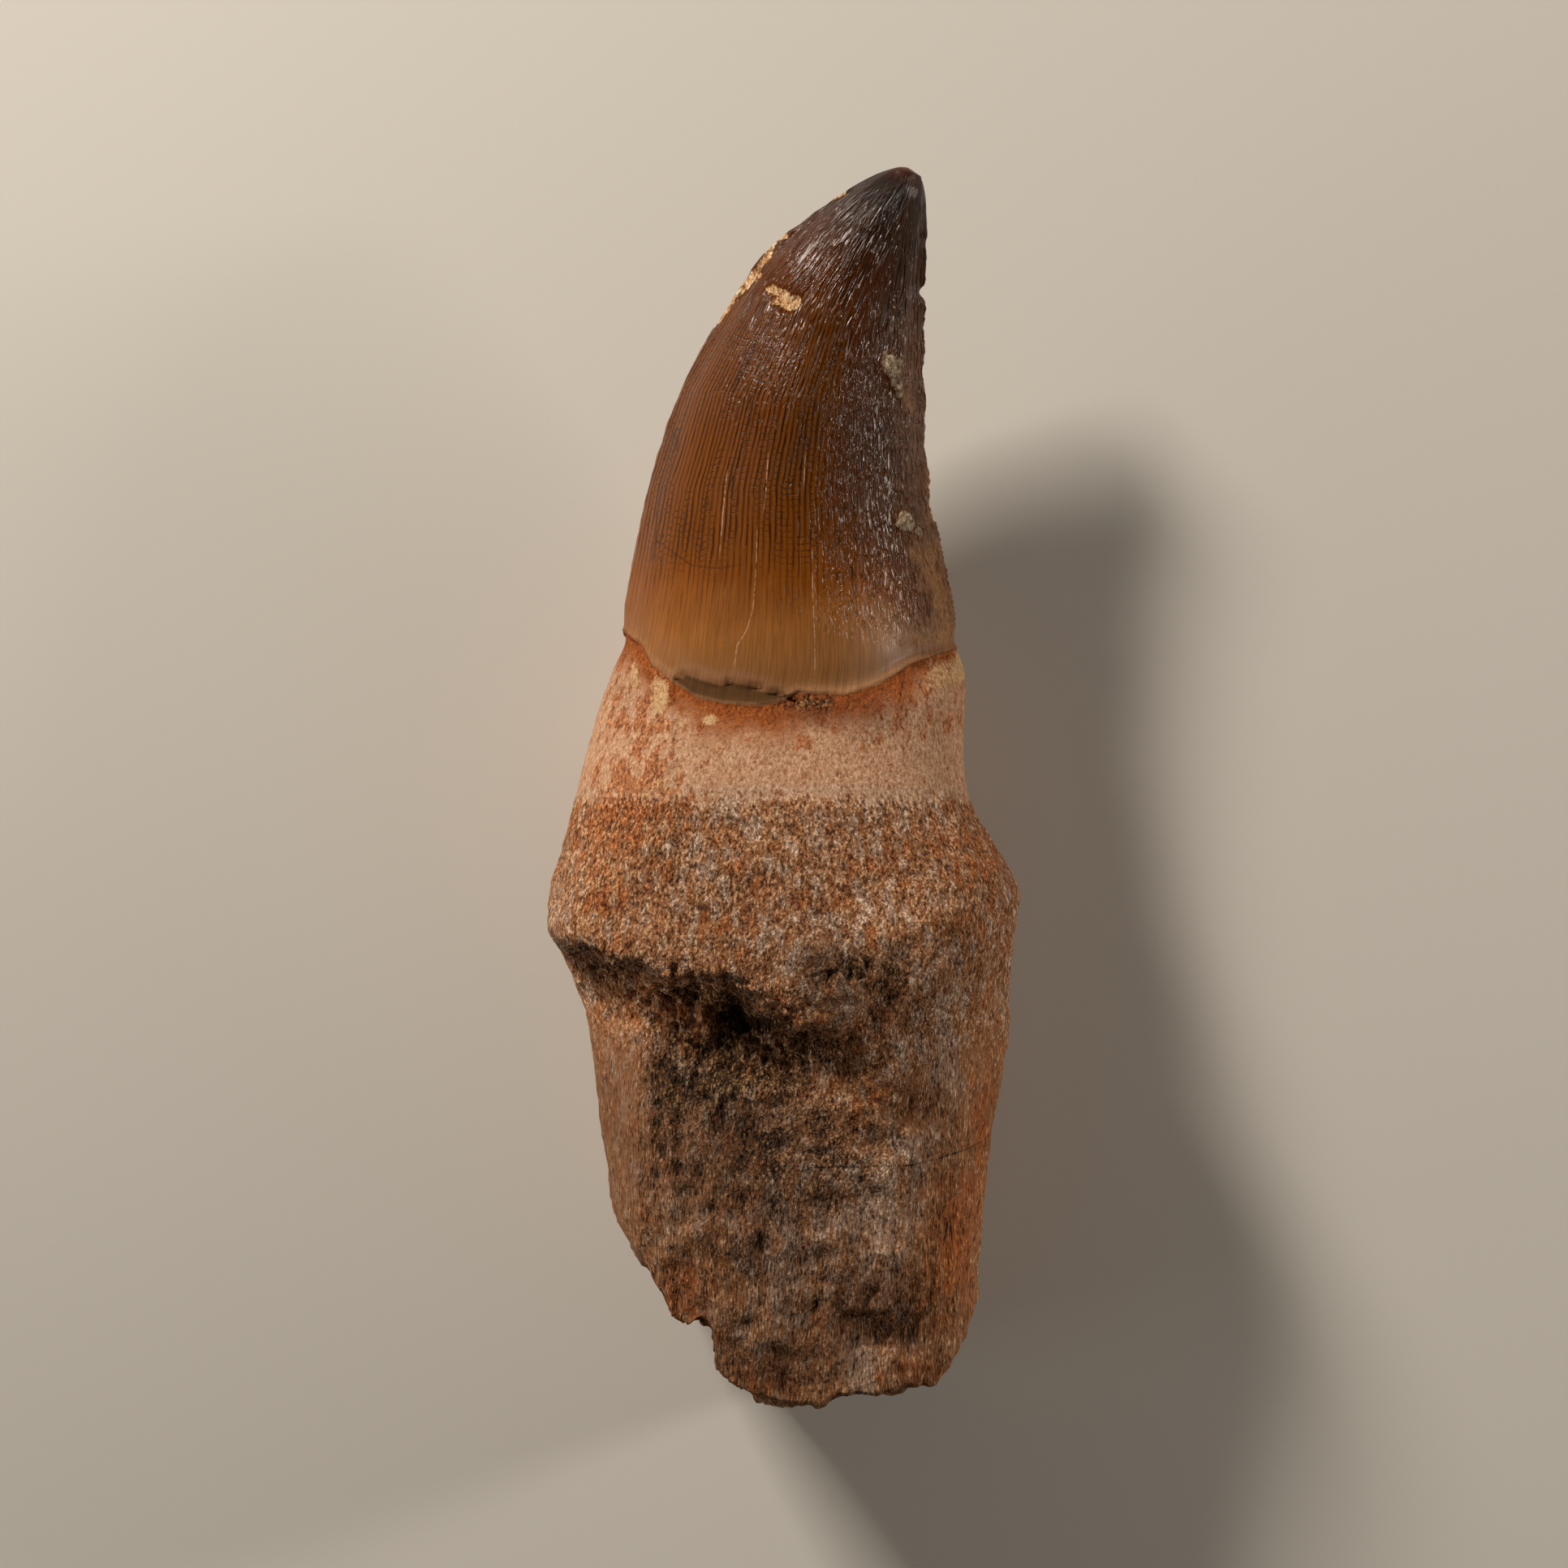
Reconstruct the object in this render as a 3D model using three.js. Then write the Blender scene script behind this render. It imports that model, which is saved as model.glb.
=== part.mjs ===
// A fossil mosasaur tooth with its root, one stone-hard piece, lying on the worn back of the root.
//
// Units are millimetres. X runs across the tooth, Y along it from the broken root end to the crown's tip,
// and Z up, away from the surface that it lies on. The origin is under the middle of the tooth.
//
// The tooth is a stack of closed rings from the broken end to the tip. Each ring spans the tooth from its
// left outline to its right one. The rings dip with the enamel's lower edge and with the lip of the root's
// swelling, so both stay crisp, and smaller functions add the keels, the ledge, its hollow and the lump.
import * as THREE from "three";

// Driving sizes
const ROOT_END_Y = -60.6; // the lowest level that the break reaches
const TIP = { x: 12.1, y: 60.4, z: 24.2 };
const KEEL_HEIGHT = 0.8; // the cutting edges stand this proud of the crown's sides
const KEEL_SPREAD = 0.14; // their half width round the ring, in radians
const ENAMEL_THICKNESS = 0.45; // the enamel's lower edge is a step of this height
const HOLLOW_DEPTH = 4.4; // how far the surface drops back under the lip
const LAST_WHOLE_Y = -38; // below this level the break cuts the rings

// Points round a ring: the front, which is the side away from the surface, has more than the back.
const FRONT_POINTS = 34;
const BACK_POINTS = 26;
const RING_POINTS = FRONT_POINTS + BACK_POINTS;

// The levels of the tooth, from the broken end to the tip. left and right are points of the outline seen from
// above, front and back are heights of the ring's top and underside, and square is the exponent of its oval:
// 2 is an ellipse, more is squarer. keel is the share of the cutting edges' height. steps is how many
// rings lead up to the next level.
const LEVELS = [
  { left: [-14.1, -60.6], right: [18.2, -60.6], front: 30.0, back: 1.6, square: 2.7, keel: 0, steps: 11 },
  { left: [-17.4, -38.0], right: [19.8, -38.0], front: 33.2, back: -0.8, square: 2.7, keel: 0, steps: 4 },
  { left: [-18.5, -30.8], right: [21.0, -30.8], front: 33.8, back: -1.1, square: 2.6, keel: 0, steps: 4 },
  { left: [-19.5, -23.6], right: [22.0, -23.6], front: 34.4, back: -1.2, square: 2.5, keel: 0, steps: 4 },
  { left: [-20.9, -18.6], right: [22.2, -18.8], front: 35.4, back: -1.2, square: 2.4, keel: 0, steps: 3 },
  { left: [-22.8, -15.0], right: [22.6, -15.0], front: 37.2, back: -1.2, square: 2.35, keel: 0, steps: 2 },
  { left: [-23.2, -12.6], right: [23.2, -11.2], front: 37.8, back: -1.1, square: 2.3, keel: 0, steps: 4 },
  { left: [-22.0, -7.2], right: [21.6, -7.2], front: 37.4, back: -0.4, square: 2.3, keel: 0, steps: 3 },
  { left: [-20.9, -2.8], right: [18.6, -2.6], front: 35.8, back: 1.0, square: 2.25, keel: 0, steps: 3 },
  { left: [-19.5, 3.0], right: [17.7, 2.4], front: 33.6, back: 3.0, square: 2.2, keel: 0, steps: 5 },
  { left: [-17.1, 11.2], right: [17.9, 11.2], front: 31.6, back: 4.4, square: 2.1, keel: 0.2, steps: 2 },
  { left: [-16.0, 14.2], right: [17.1, 14.2], front: 31.1, back: 4.8, square: 2.05, keel: 0.7, steps: 1 },
  { left: [-16.0, 16.4], right: [17.1, 16.0], front: 31.2, back: 4.9, square: 2.0, keel: 1, steps: 7 },
  { left: [-13.5, 29.2], right: [14.7, 28.2], front: 30.3, back: 7.0, square: 1.95, keel: 1, steps: 5 },
  { left: [-10.3, 38.8], right: [14.0, 35.6], front: 29.4, back: 9.8, square: 1.95, keel: 1, steps: 5 },
  { left: [-4.7, 48.4], right: [13.8, 42.8], front: 28.3, back: 13.4, square: 1.95, keel: 1, steps: 3 },
  { left: [-1.3, 52.9], right: [13.8, 46.9], front: 27.7, back: 15.6, square: 1.95, keel: 0.9, steps: 1 },
  { left: [1.3, 54.8], right: [13.8, 49.0], front: 27.4, back: 16.8, square: 1.95, keel: 0.8, steps: 3 },
  { left: [5.7, 58.0], right: [14.0, 54.2], front: 26.7, back: 19.4, square: 2.0, keel: 0.5, steps: 2 },
  { left: [9.3, 59.9], right: [13.9, 57.7], front: 26.0, back: 21.4, square: 2.0, keel: 0.2, steps: 1 },
  { left: [11.0, 60.4], right: [13.5, 59.4], front: 25.3, back: 22.6, square: 2.0, keel: 0, steps: 1 },
];

// The lip over the hollow, seen from above: how far it dips below its two ends at each place across.
const LIP_LEVEL_Y = -14.9;
const LIP_DIP = [
  [-23, 0],
  [-17, -1.8],
  [-10, -3.8],
  [-4, -5.4],
  [1, -8.0],
  [5, -9.2],
  [11, -7.0],
  [17, -3.2],
  [23, 0],
];
const LIP_DIP_BELOW = 23; // the dip has faded out this far below the lip
const LIP_DIP_ABOVE = 17;

// The hollow under the lip, on the left of the front. It drops at the lip, stays deep as far as floorEnd
// below it and has run out at runOut. It is thinner towards the left outline, and on the right it ends
// between two places across.
const HOLLOW = { drop: 2.4, floorEnd: 3, runOut: 27 };
const HOLLOW_ACROSS = { thinAt: -24, fullAt: -8, thinShare: 0.45, endFrom: 0.5, endTo: 8 };
const LIP_ROLL = { height: 0.9, above: 1.2, width: 2.2 }; // the lip itself is a low roll

// Lengthwise flutes on the front of the root below the hollow: place across, half width and height.
const FLUTES = [
  { x: -15.6, width: 1.5, height: 0.35 },
  { x: -10.3, width: 1.1, height: -0.5 },
  { x: -3.5, width: 1.6, height: 0.3 },
  { x: 2.2, width: 1.2, height: -0.3 },
  { x: 12.4, width: 1.3, height: -0.35 },
  { x: 16.2, width: 1.5, height: 0.3 },
];
const FLUTES_FROM_Y = -20; // they begin below this height and are full at FLUTES_FULL_Y
const FLUTES_FULL_Y = -30;

// The enamel's lower edge, which sags between the two cutting edges on both faces of the crown.
const ENAMEL_LEVEL_Y = 14.2;
const ENAMEL_SAG = 5.2;
const ENAMEL_SAG_POWER = 1.6; // more keeps the edge level for longer beside the cutting edges
const ENAMEL_SAG_BELOW = 14;
const ENAMEL_SAG_ABOVE = 26;
const ENAMEL_STEP = { from: -0.3, to: 0.9 }; // the step's foot and top, above the edge's own level
const NECK_RECESS = { from: -6, full: -1 }; // the neck narrows by the same amount between these levels

// The broken end seen from above: the height of the break at each place across the tooth.
const BREAK_PROFILE = [
  [-17.2, -42.0],
  [-16.3, -43.3],
  [-14.8, -45.5],
  [-13.2, -47.5],
  [-12.3, -50.0],
  [-10.4, -52.5],
  [-7.1, -53.4],
  [-6.5, -57.7],
  [-2.5, -59.9],
  [0.5, ROOT_END_Y],
  [5.0, -59.8],
  [14.5, -58.6],
  [16.6, -56.9],
  [18.4, -54.0],
  [19.2, -50.0],
];
const BREAK_LEAN = 3.2; // the break runs this much higher at the back than at the front
const FRONT_SKIN_Z = 28; // at and above this height the break has the profile seen from above
const SPLINTERS = { height: 0.5, acrossX: 0.9, acrossZ: 0.55, fadeFromZ: 24, fadeToZ: 30 };
const CAP_RINGS = 5; // rings across the broken end
const CAP_MIDDLE = { x: 1.8, z: 16, hollow: 0.9 };

const { clamp, smoothstep, lerp } = THREE.MathUtils;

// A smooth curve through one value or more of each level, read at the same place t for every curve.
const curveThrough = (pick) =>
  new THREE.CatmullRomCurve3(LEVELS.map((level) => new THREE.Vector3(...pick(level))), false, "centripetal");
const leftOutline = curveThrough((level) => [...level.left, 0]);
const rightOutline = curveThrough((level) => [...level.right, 0]);
const depths = curveThrough((level) => [level.front, level.back, 0]);
const oval = curveThrough((level) => [level.square, level.keel, 0]);

// Reads a list of [place, value] pairs at any place, straight between the pairs.
function readProfile(profile, place) {
  const after = profile.findIndex(([at]) => at >= place);
  if (after === 0) return profile[0][1];
  if (after < 0) return profile.at(-1)[1];
  const [[x0, y0], [x1, y1]] = [profile[after - 1], profile[after]];
  return lerp(y0, y1, (place - x0) / (x1 - x0));
}

// 1 at distance 0, falling smoothly to 0 at the given reach.
const fade = (distance, reach) => 1 - smoothstep(Math.abs(distance), 0, reach);

// The angle of point i of a ring: 0 at the right outline, a quarter turn at the front.
function ringAngle(i) {
  if (i < FRONT_POINTS) return (Math.PI * i) / FRONT_POINTS;
  return Math.PI * (1 + (i - FRONT_POINTS) / BACK_POINTS);
}

// 0 on the back and at both outlines, 1 where the surface has turned to the front.
const FRONT_FULL_SINE = 0.5;
const frontness = (angle) => smoothstep(Math.sin(angle), 0, FRONT_FULL_SINE);

const power = (value, exponent) => Math.sign(value) * Math.abs(value) ** exponent;

// How far the cutting edges stand out at this angle: they run up the left and right outlines.
function keelRise(angle, share) {
  const fromEdge = Math.min(angle, Math.abs(angle - Math.PI), 2 * Math.PI - angle);
  return KEEL_HEIGHT * share * (Math.exp(-((fromEdge / KEEL_SPREAD) ** 2)) - 1);
}

// How far the rings dip at this level and place, with the lip at the front and the enamel's edge all round.
function ringDip(levelY, x, angle) {
  const lipReach = levelY < LIP_LEVEL_Y ? LIP_DIP_BELOW : LIP_DIP_ABOVE;
  const lip = readProfile(LIP_DIP, x) * frontness(angle) * fade(levelY - LIP_LEVEL_Y, lipReach);
  const enamelReach = levelY < ENAMEL_LEVEL_Y ? ENAMEL_SAG_BELOW : ENAMEL_SAG_ABOVE;
  const sag = -ENAMEL_SAG * Math.abs(Math.sin(angle)) ** ENAMEL_SAG_POWER;
  return lip + sag * fade(levelY - ENAMEL_LEVEL_Y, enamelReach);
}

// The ledge: under the lip the surface drops into the hollow, which runs out downwards.
function ledgeRise(levelY, x, angle) {
  const { thinAt, fullAt, thinShare, endFrom, endTo } = HOLLOW_ACROSS;
  const across = lerp(thinShare, 1, smoothstep(x, thinAt, fullAt));
  const within = 1 - smoothstep(x, endFrom, endTo);
  const below = LIP_LEVEL_Y - levelY;
  const runOut = 1 - smoothstep(below, HOLLOW.floorEnd, HOLLOW.runOut);
  const hollow = smoothstep(below, 0, HOLLOW.drop) * runOut;
  const roll = LIP_ROLL.height * Math.exp(-(((below + LIP_ROLL.above) / LIP_ROLL.width) ** 2));
  return frontness(angle) * within * (roll - HOLLOW_DEPTH * across * hollow);
}

// The flutes run down the root to the break.
function fluteRise(levelY, x, angle) {
  const below = 1 - smoothstep(levelY, FLUTES_FULL_Y, FLUTES_FROM_Y);
  const rises = FLUTES.map((flute) => flute.height * Math.exp(-(((x - flute.x) / flute.width) ** 2)));
  return below * frontness(angle) * rises.reduce((sum, rise) => sum + rise, 0);
}

// Low lumps and dips on the front of the root: place, radius and height.
const SWELLING_FALLOFF = 1.6;
const SWELLINGS = [
  { x: 3.6, y: -17.5, radius: 6.5, height: 1.3 },
  { x: 11.0, y: -17.5, radius: 4.0, height: -0.7 },
  { x: -19.5, y: -12.5, radius: 4.5, height: 0.6 },
  { x: -4.9, y: -21.8, radius: 3.2, height: -1.6 },
  { x: 9.5, y: -47.0, radius: 6.0, height: 0.6 },
  { x: 9.0, y: -53.5, radius: 4.5, height: -1.3 },
  { x: -9.5, y: -33.0, radius: 5.0, height: -0.6 },
  { x: 5.0, y: -34.0, radius: 6.0, height: 0.5 },
];
function swellingRise(x, y, angle) {
  const rises = SWELLINGS.map((swelling) => {
    const distance = Math.hypot(x - swelling.x, y - swelling.y) / swelling.radius;
    return swelling.height * Math.exp(-SWELLING_FALLOFF * distance ** 2);
  });
  return frontness(angle) * rises.reduce((sum, rise) => sum + rise, 0);
}

// The enamel's lower edge stands proud of the neck by its own thickness, and the neck swells again below it.
function enamelRise(levelY) {
  const above = levelY - ENAMEL_LEVEL_Y;
  const belowStep = 1 - smoothstep(above, ENAMEL_STEP.from, ENAMEL_STEP.to);
  return -ENAMEL_THICKNESS * belowStep * smoothstep(above, NECK_RECESS.from, NECK_RECESS.full);
}

// A point of the tooth's surface. t is its place along the levels, from 0 to 1.
function surfacePoint(t, angle) {
  const left = leftOutline.getPoint(t);
  const right = rightOutline.getPoint(t);
  const { x: front, y: back } = depths.getPoint(t);
  const { x: square, y: keel } = oval.getPoint(t);
  const middle = left.clone().lerp(right, 0.5).setZ((front + back) / 2);
  const across = right.clone().sub(left);
  const halfWidth = across.length() / 2;
  const halfDepth = (front - back) / 2;
  across.normalize();

  const outX = power(Math.cos(angle), 2 / square);
  const outZ = power(Math.sin(angle), 2 / square);
  const point = middle.clone().addScaledVector(across, outX * halfWidth);
  point.z += outZ * halfDepth;

  const levelY = middle.y;
  const normal = across.clone().multiplyScalar(outX / halfWidth);
  normal.z = outZ / halfDepth;
  normal.normalize();
  const ledge = ledgeRise(levelY, point.x, angle) + fluteRise(levelY, point.x, angle);
  const rise = keelRise(angle, keel) + enamelRise(levelY) + ledge;
  point.y += ringDip(levelY, point.x, angle);
  point.addScaledVector(normal, rise + swellingRise(point.x, point.y, angle));
  return point;
}

// The place along the levels of each row of points, from the lowest whole ring to the last one under the tip.
function wholeRingPlaces() {
  const places = [];
  for (let level = 1; level < LEVELS.length; level++) {
    const steps = level === LEVELS.length - 1 ? 1 : LEVELS[level].steps;
    for (let step = 0; step < steps; step++) places.push((level + step / steps) / (LEVELS.length - 1));
  }
  return places;
}

// The height of the broken surface over a place of the tooth's section, higher towards the back.
function breakHeight(x, z) {
  const lean = BREAK_LEAN * (1 - smoothstep(z, 0, FRONT_SKIN_Z));
  const ripple = Math.sin(SPLINTERS.acrossX * x) * Math.sin(SPLINTERS.acrossZ * z);
  const fadeOut = 1 - smoothstep(z, SPLINTERS.fadeFromZ, SPLINTERS.fadeToZ);
  return readProfile(BREAK_PROFILE, x) + lean + SPLINTERS.height * ripple * fadeOut;
}

// The place along the levels of the first ring that the break leaves whole.
const FIRST_WHOLE = 1 / (LEVELS.length - 1);

// The lower end of one line of points, where the break cuts it, found in three rounds.
function brokenRimPoint(angle) {
  const lowestY = LEVELS[0].left[1];
  let t = 0;
  let point = surfacePoint(t, angle);
  for (let round = 0; round < 3; round++) {
    const height = breakHeight(point.x, point.z);
    t = FIRST_WHOLE * clamp((height - lowestY) / (LAST_WHOLE_Y - lowestY), 0, 1);
    point = surfacePoint(t, angle).setY(height);
  }
  return { t, point };
}

// Rings from the break's rim to the first whole ring, then up to the tip.
function sideRings() {
  const angles = Array.from({ length: RING_POINTS }, (_, i) => ringAngle(i));
  const rims = angles.map(brokenRimPoint);
  const brokenSteps = LEVELS[0].steps;
  const rings = [];
  for (let step = 0; step < brokenSteps; step++) {
    const share = step / brokenSteps;
    rings.push(
      angles.map((angle, i) => {
        const whole = surfacePoint(FIRST_WHOLE, angle);
        const point = surfacePoint(lerp(rims[i].t, FIRST_WHOLE, share), angle);
        return point.setY(lerp(rims[i].point.y, whole.y, share));
      }),
    );
  }
  for (const t of wholeRingPlaces()) rings.push(angles.map((angle) => surfacePoint(t, angle)));
  return rings;
}

// The broken end's middle, and rings that grow from it to just inside the rim. The end is slightly hollow.
function capRings(rim) {
  const middle = new THREE.Vector3(CAP_MIDDLE.x, 0, CAP_MIDDLE.z);
  middle.y = breakHeight(middle.x, middle.z) + CAP_MIDDLE.hollow;
  const rings = [];
  for (let ring = 1; ring < CAP_RINGS; ring++) {
    const share = ring / CAP_RINGS;
    rings.push(
      rim.map((edge) => {
        const point = middle.clone().lerp(edge, share);
        return point.setY(breakHeight(point.x, point.z) + CAP_MIDDLE.hollow * (1 - share));
      }),
    );
  }
  return { rings, middle };
}

// One closed body: the cap's middle, its rings inside out, the sides, and the tip.
function toothGeometry() {
  const sides = sideRings();
  const cap = capRings(sides[0]);
  const rings = [...cap.rings, ...sides];
  const points = [cap.middle, ...rings.flat(), new THREE.Vector3(TIP.x, TIP.y, TIP.z)];
  const last = points.length - 1;
  const at = (ring, i) => 1 + ring * RING_POINTS + (i % RING_POINTS);
  const faces = [];
  for (let i = 0; i < RING_POINTS; i++) {
    faces.push(0, at(0, i), at(0, i + 1));
    for (let ring = 0; ring < rings.length - 1; ring++) {
      faces.push(at(ring, i), at(ring + 1, i), at(ring, i + 1));
      faces.push(at(ring, i + 1), at(ring + 1, i), at(ring + 1, i + 1));
    }
    faces.push(at(rings.length - 1, i), last, at(rings.length - 1, i + 1));
  }
  // The back is worn flat where the tooth lies on it.
  points.forEach((point) => point.setZ(Math.max(point.z, 0)));
  const geometry = new THREE.BufferGeometry().setFromPoints(points);
  geometry.setIndex(faces);
  geometry.computeVertexNormals();
  return geometry;
}

const fossil = new THREE.MeshStandardMaterial({ color: 0xa87850, roughness: 0.7, metalness: 0 });
const tooth = new THREE.Mesh(toothGeometry(), fossil);
tooth.name = "mosasaur_tooth";

const group = new THREE.Group();
group.add(tooth);
export default group;
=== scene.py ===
# %% [markdown]
# # A fossil mosasaur tooth
#
# The tooth lies on the worn back of its root. It is one stone-hard piece: a glossy enamel crown, an orange
# rim of bare dentine, a band of fused sand round the neck, and a swollen bony root with a broken end. The
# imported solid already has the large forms, so this script adds what the eye sees next: the bone's pits and
# fibres, the enamel's chipped edge, the nicked cutting edges and the colours of each finish.

# %% Load the solid tooth
from math import pi, radians

import bmesh
import bpy
import numpy as np
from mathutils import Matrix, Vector, noise


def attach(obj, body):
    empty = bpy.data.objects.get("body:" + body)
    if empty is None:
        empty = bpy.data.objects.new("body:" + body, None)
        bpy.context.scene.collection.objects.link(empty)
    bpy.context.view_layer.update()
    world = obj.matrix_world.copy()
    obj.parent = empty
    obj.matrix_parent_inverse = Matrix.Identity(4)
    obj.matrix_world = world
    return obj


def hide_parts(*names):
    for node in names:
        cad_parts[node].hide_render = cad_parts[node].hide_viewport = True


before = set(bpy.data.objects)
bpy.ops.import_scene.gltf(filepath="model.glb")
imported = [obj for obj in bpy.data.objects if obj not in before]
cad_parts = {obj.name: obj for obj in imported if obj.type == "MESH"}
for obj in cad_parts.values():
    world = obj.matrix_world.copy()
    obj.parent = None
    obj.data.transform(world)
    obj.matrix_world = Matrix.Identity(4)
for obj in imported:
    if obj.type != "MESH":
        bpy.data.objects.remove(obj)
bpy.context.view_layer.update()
NODE = "mosasaur_tooth"
MM = 0.001

# %% [markdown]
# ## The camera
#
# The photograph shows the tooth upright, but a tooth like this can't stand, so it lies down and the camera
# looks straight down on it, with the crown's tip at the top of the picture. A long lens from almost a metre
# away keeps the outline as flat as the photograph's.

# %% Place the camera
PICTURE_WIDTH = 154.56 * MM  # what the picture's width spans at the height of the tooth's outline
OUTLINE_HEIGHT = 18 * MM
LENS = 200
SENSOR = 36


def put(name, data):
    """Makes an object of the data and puts it in the scene."""
    thing = bpy.data.objects.new(name, data)
    bpy.context.scene.collection.objects.link(thing)
    return thing


def place_camera():
    optics = bpy.data.cameras.new("camera")
    optics.lens = LENS
    optics.sensor_width = SENSOR
    camera = put("camera", optics)
    camera.location = (0, 0, OUTLINE_HEIGHT + PICTURE_WIDTH * LENS / SENSOR)
    bpy.context.scene.camera = camera
    return camera


camera = place_camera()
print("camera height, mm:", round(camera.location.z / MM))

# %% [markdown]
# ## A fine mesh to carve
#
# The solid is faceted, with triangles of one or two millimetres. A copy of it is merged into one skin and
# its triangles are joined into quads. A Subdivision Surface rounds them into a fine even mesh, and creased
# edges keep the break's rim and the lip of the root sharp.

# %% Copy, merge and refine the skin
SEAM = 0.001 * MM  # vertices closer than this are one
CREASE_ANGLE = radians(48)
CREASE = 0.75
QUAD_ANGLE = radians(175)


def copy_solid():
    """A copy of the solid as one merged skin of quads, with its sharp edges creased."""
    mesh = bpy.data.meshes.new("tooth_skin")
    skin = bmesh.new()
    skin.from_mesh(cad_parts[NODE].data)
    bmesh.ops.remove_doubles(skin, verts=skin.verts, dist=SEAM)
    bmesh.ops.join_triangles(
        skin, faces=skin.faces, angle_face_threshold=QUAD_ANGLE, angle_shape_threshold=QUAD_ANGLE
    )
    crease = skin.edges.layers.float.new("crease_edge")
    for edge in skin.edges:
        if edge.calc_face_angle(0) > CREASE_ANGLE:
            edge[crease] = CREASE
    skin.to_mesh(mesh)
    skin.free()
    return mesh


def subdivided(mesh, levels):
    """The mesh after a Subdivision Surface of that many levels."""
    holder = put("holder", mesh)
    rounder = holder.modifiers.new("rounder", "SUBSURF")
    rounder.levels = levels
    rounder.render_levels = levels
    shaped = holder.evaluated_get(bpy.context.evaluated_depsgraph_get())
    fine = bpy.data.meshes.new_from_object(shaped)
    bpy.data.objects.remove(holder)
    return fine


tooth_mesh = subdivided(copy_solid(), levels=2)
print("fine mesh, faces:", len(tooth_mesh.polygons))

# %% [markdown]
# ## Measuring along the tooth
#
# The carving and the finishes need to know where a point is on the tooth, not only where it is in space.
# Two measures do most of the work. One is the height above the enamel's lower edge. The other unbends the
# crown into a straight cylinder, so that a pattern of straight lines in it follows the crown's curve and
# runs together at the tip, as the real fissures do.

# %% Read and write the skin
def smooth(value, low, high):
    """Goes from 0 at low to 1 at high, with a soft start and end. Low may be above high."""
    share = np.clip((value - low) / (high - low), 0, 1)
    return share * share * (3 - 2 * share)


def read_points(mesh, what):
    """The vertices' places in millimetres, or their normals, one row each."""
    values = np.empty(len(mesh.vertices) * 3)
    mesh.vertices.foreach_get(what, values)
    return values.reshape(-1, 3) / (MM if what == "co" else 1)


def write_points(mesh, points):
    mesh.vertices.foreach_set("co", (points * MM).ravel())
    mesh.update()


def store(mesh, name, values):
    """Keeps one number, or one vector, for each vertex under that name."""
    kind = "FLOAT" if values.ndim == 1 else "FLOAT_VECTOR"
    layer = mesh.attributes.new(name, kind, "POINT")
    layer.data.foreach_set("value" if values.ndim == 1 else "vector", values.astype(np.float32).ravel())


skin_places = read_points(tooth_mesh, "co")
print("the fine mesh reaches, in mm, from", skin_places.min(0).round(1), "to", skin_places.max(0).round(1))

# %% Noise and pits
SEED_SHIFT = 31.7  # moves the noise on, so that each seed gives a pattern of its own


def noise_places(points, size, drawn, seed):
    """The points counted in lumps of that size in millimetres, which are drawn out along the tooth."""
    return (points / (np.array((1, drawn, 1)) * size) + seed * SEED_SHIFT).tolist()


def rough(points, size, drawn=1, octaves=1, seed=0):
    """Smooth noise from about -1 to 1, with lumps of that size."""
    places = noise_places(points, size, drawn, seed)
    if octaves == 1:
        return np.array([noise.noise(place) for place in places])
    return np.array([noise.fractal(place, 1, 2, octaves) for place in places])


def pits(points, spacing, drawn=1, seed=0):
    """1 at the middle of scattered pits, 0 between them."""
    places = noise_places(points, spacing, drawn, seed)
    nearest = np.array([noise.voronoi(place)[0][0] for place in places])
    return smooth(nearest, 0.42, 0.12)


sample = rough(skin_places[::50], 5)
print("lumps of 5 mm, lowest and highest:", sample.min().round(2), sample.max().round(2))

# %% Soft spots and thick lines
def spots(points, places):
    """Sums soft round places, each (x, y, radius across, radius along, height)."""
    total = np.zeros(len(points))
    for x, y, wide, tall, height in places:
        apart = ((points[:, 0] - x) / wide) ** 2 + ((points[:, 1] - y) / tall) ** 2
        total += height * np.exp(-apart)
    return total


def capsules(points, places):
    """Thick lines, each (x, y, x, y, radius). The field is 1 on a line and 0 at its radius."""
    field = np.full(len(points), -4)
    for x0, y0, x1, y1, radius in places:
        start = np.array([x0, y0])
        run = np.array([x1 - x0, y1 - y0])
        step = points[:, :2] - start
        share = np.clip(step @ run / (run @ run), 0, 1)
        apart = np.linalg.norm(step - np.outer(share, run), axis=1)
        field = np.maximum(field, 1 - apart / radius)
    return field


print("left of a soft spot at its radius:", spots(np.array([[2, 0, 0]]), [(0, 0, 2, 2, 1)]).round(2))

# %% The enamel's lower edge
# Places across the tooth and heights along it, in millimetres. The two sides meet at the cutting edges.
FRONT_EDGE = [
    (-16.6, 15.4), (-15.7, 15), (-13.8, 13.5), (-12.9, 11.6), (-10.9, 10), (-8.7, 8.5), (-5.9, 7.8),
    (-2.4, 7.6), (-0.1, 8), (1.2, 8.8), (5.9, 8.7), (9, 9.6), (12.6, 11.8), (16.9, 13.3), (17.6, 13.7),
]
BACK_EDGE = [(-16.6, 15.4), (-12.5, 12.2), (-7, 9.8), (1, 9), (8, 9.9), (13.5, 11.9), (17.6, 13.7)]


def along(line, across):
    """Reads a list of places and heights at every place in across."""
    return np.interp(across, [place for place, _ in line], [height for _, height in line])


def height_over_edge(points, front):
    edge = np.where(front > 0, along(FRONT_EDGE, points[:, 0]), along(BACK_EDGE, points[:, 0]))
    return points[:, 1] - edge


print("enamel's edge at the tooth's middle, in mm:", round(float(along(FRONT_EDGE, 0)), 1))

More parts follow.
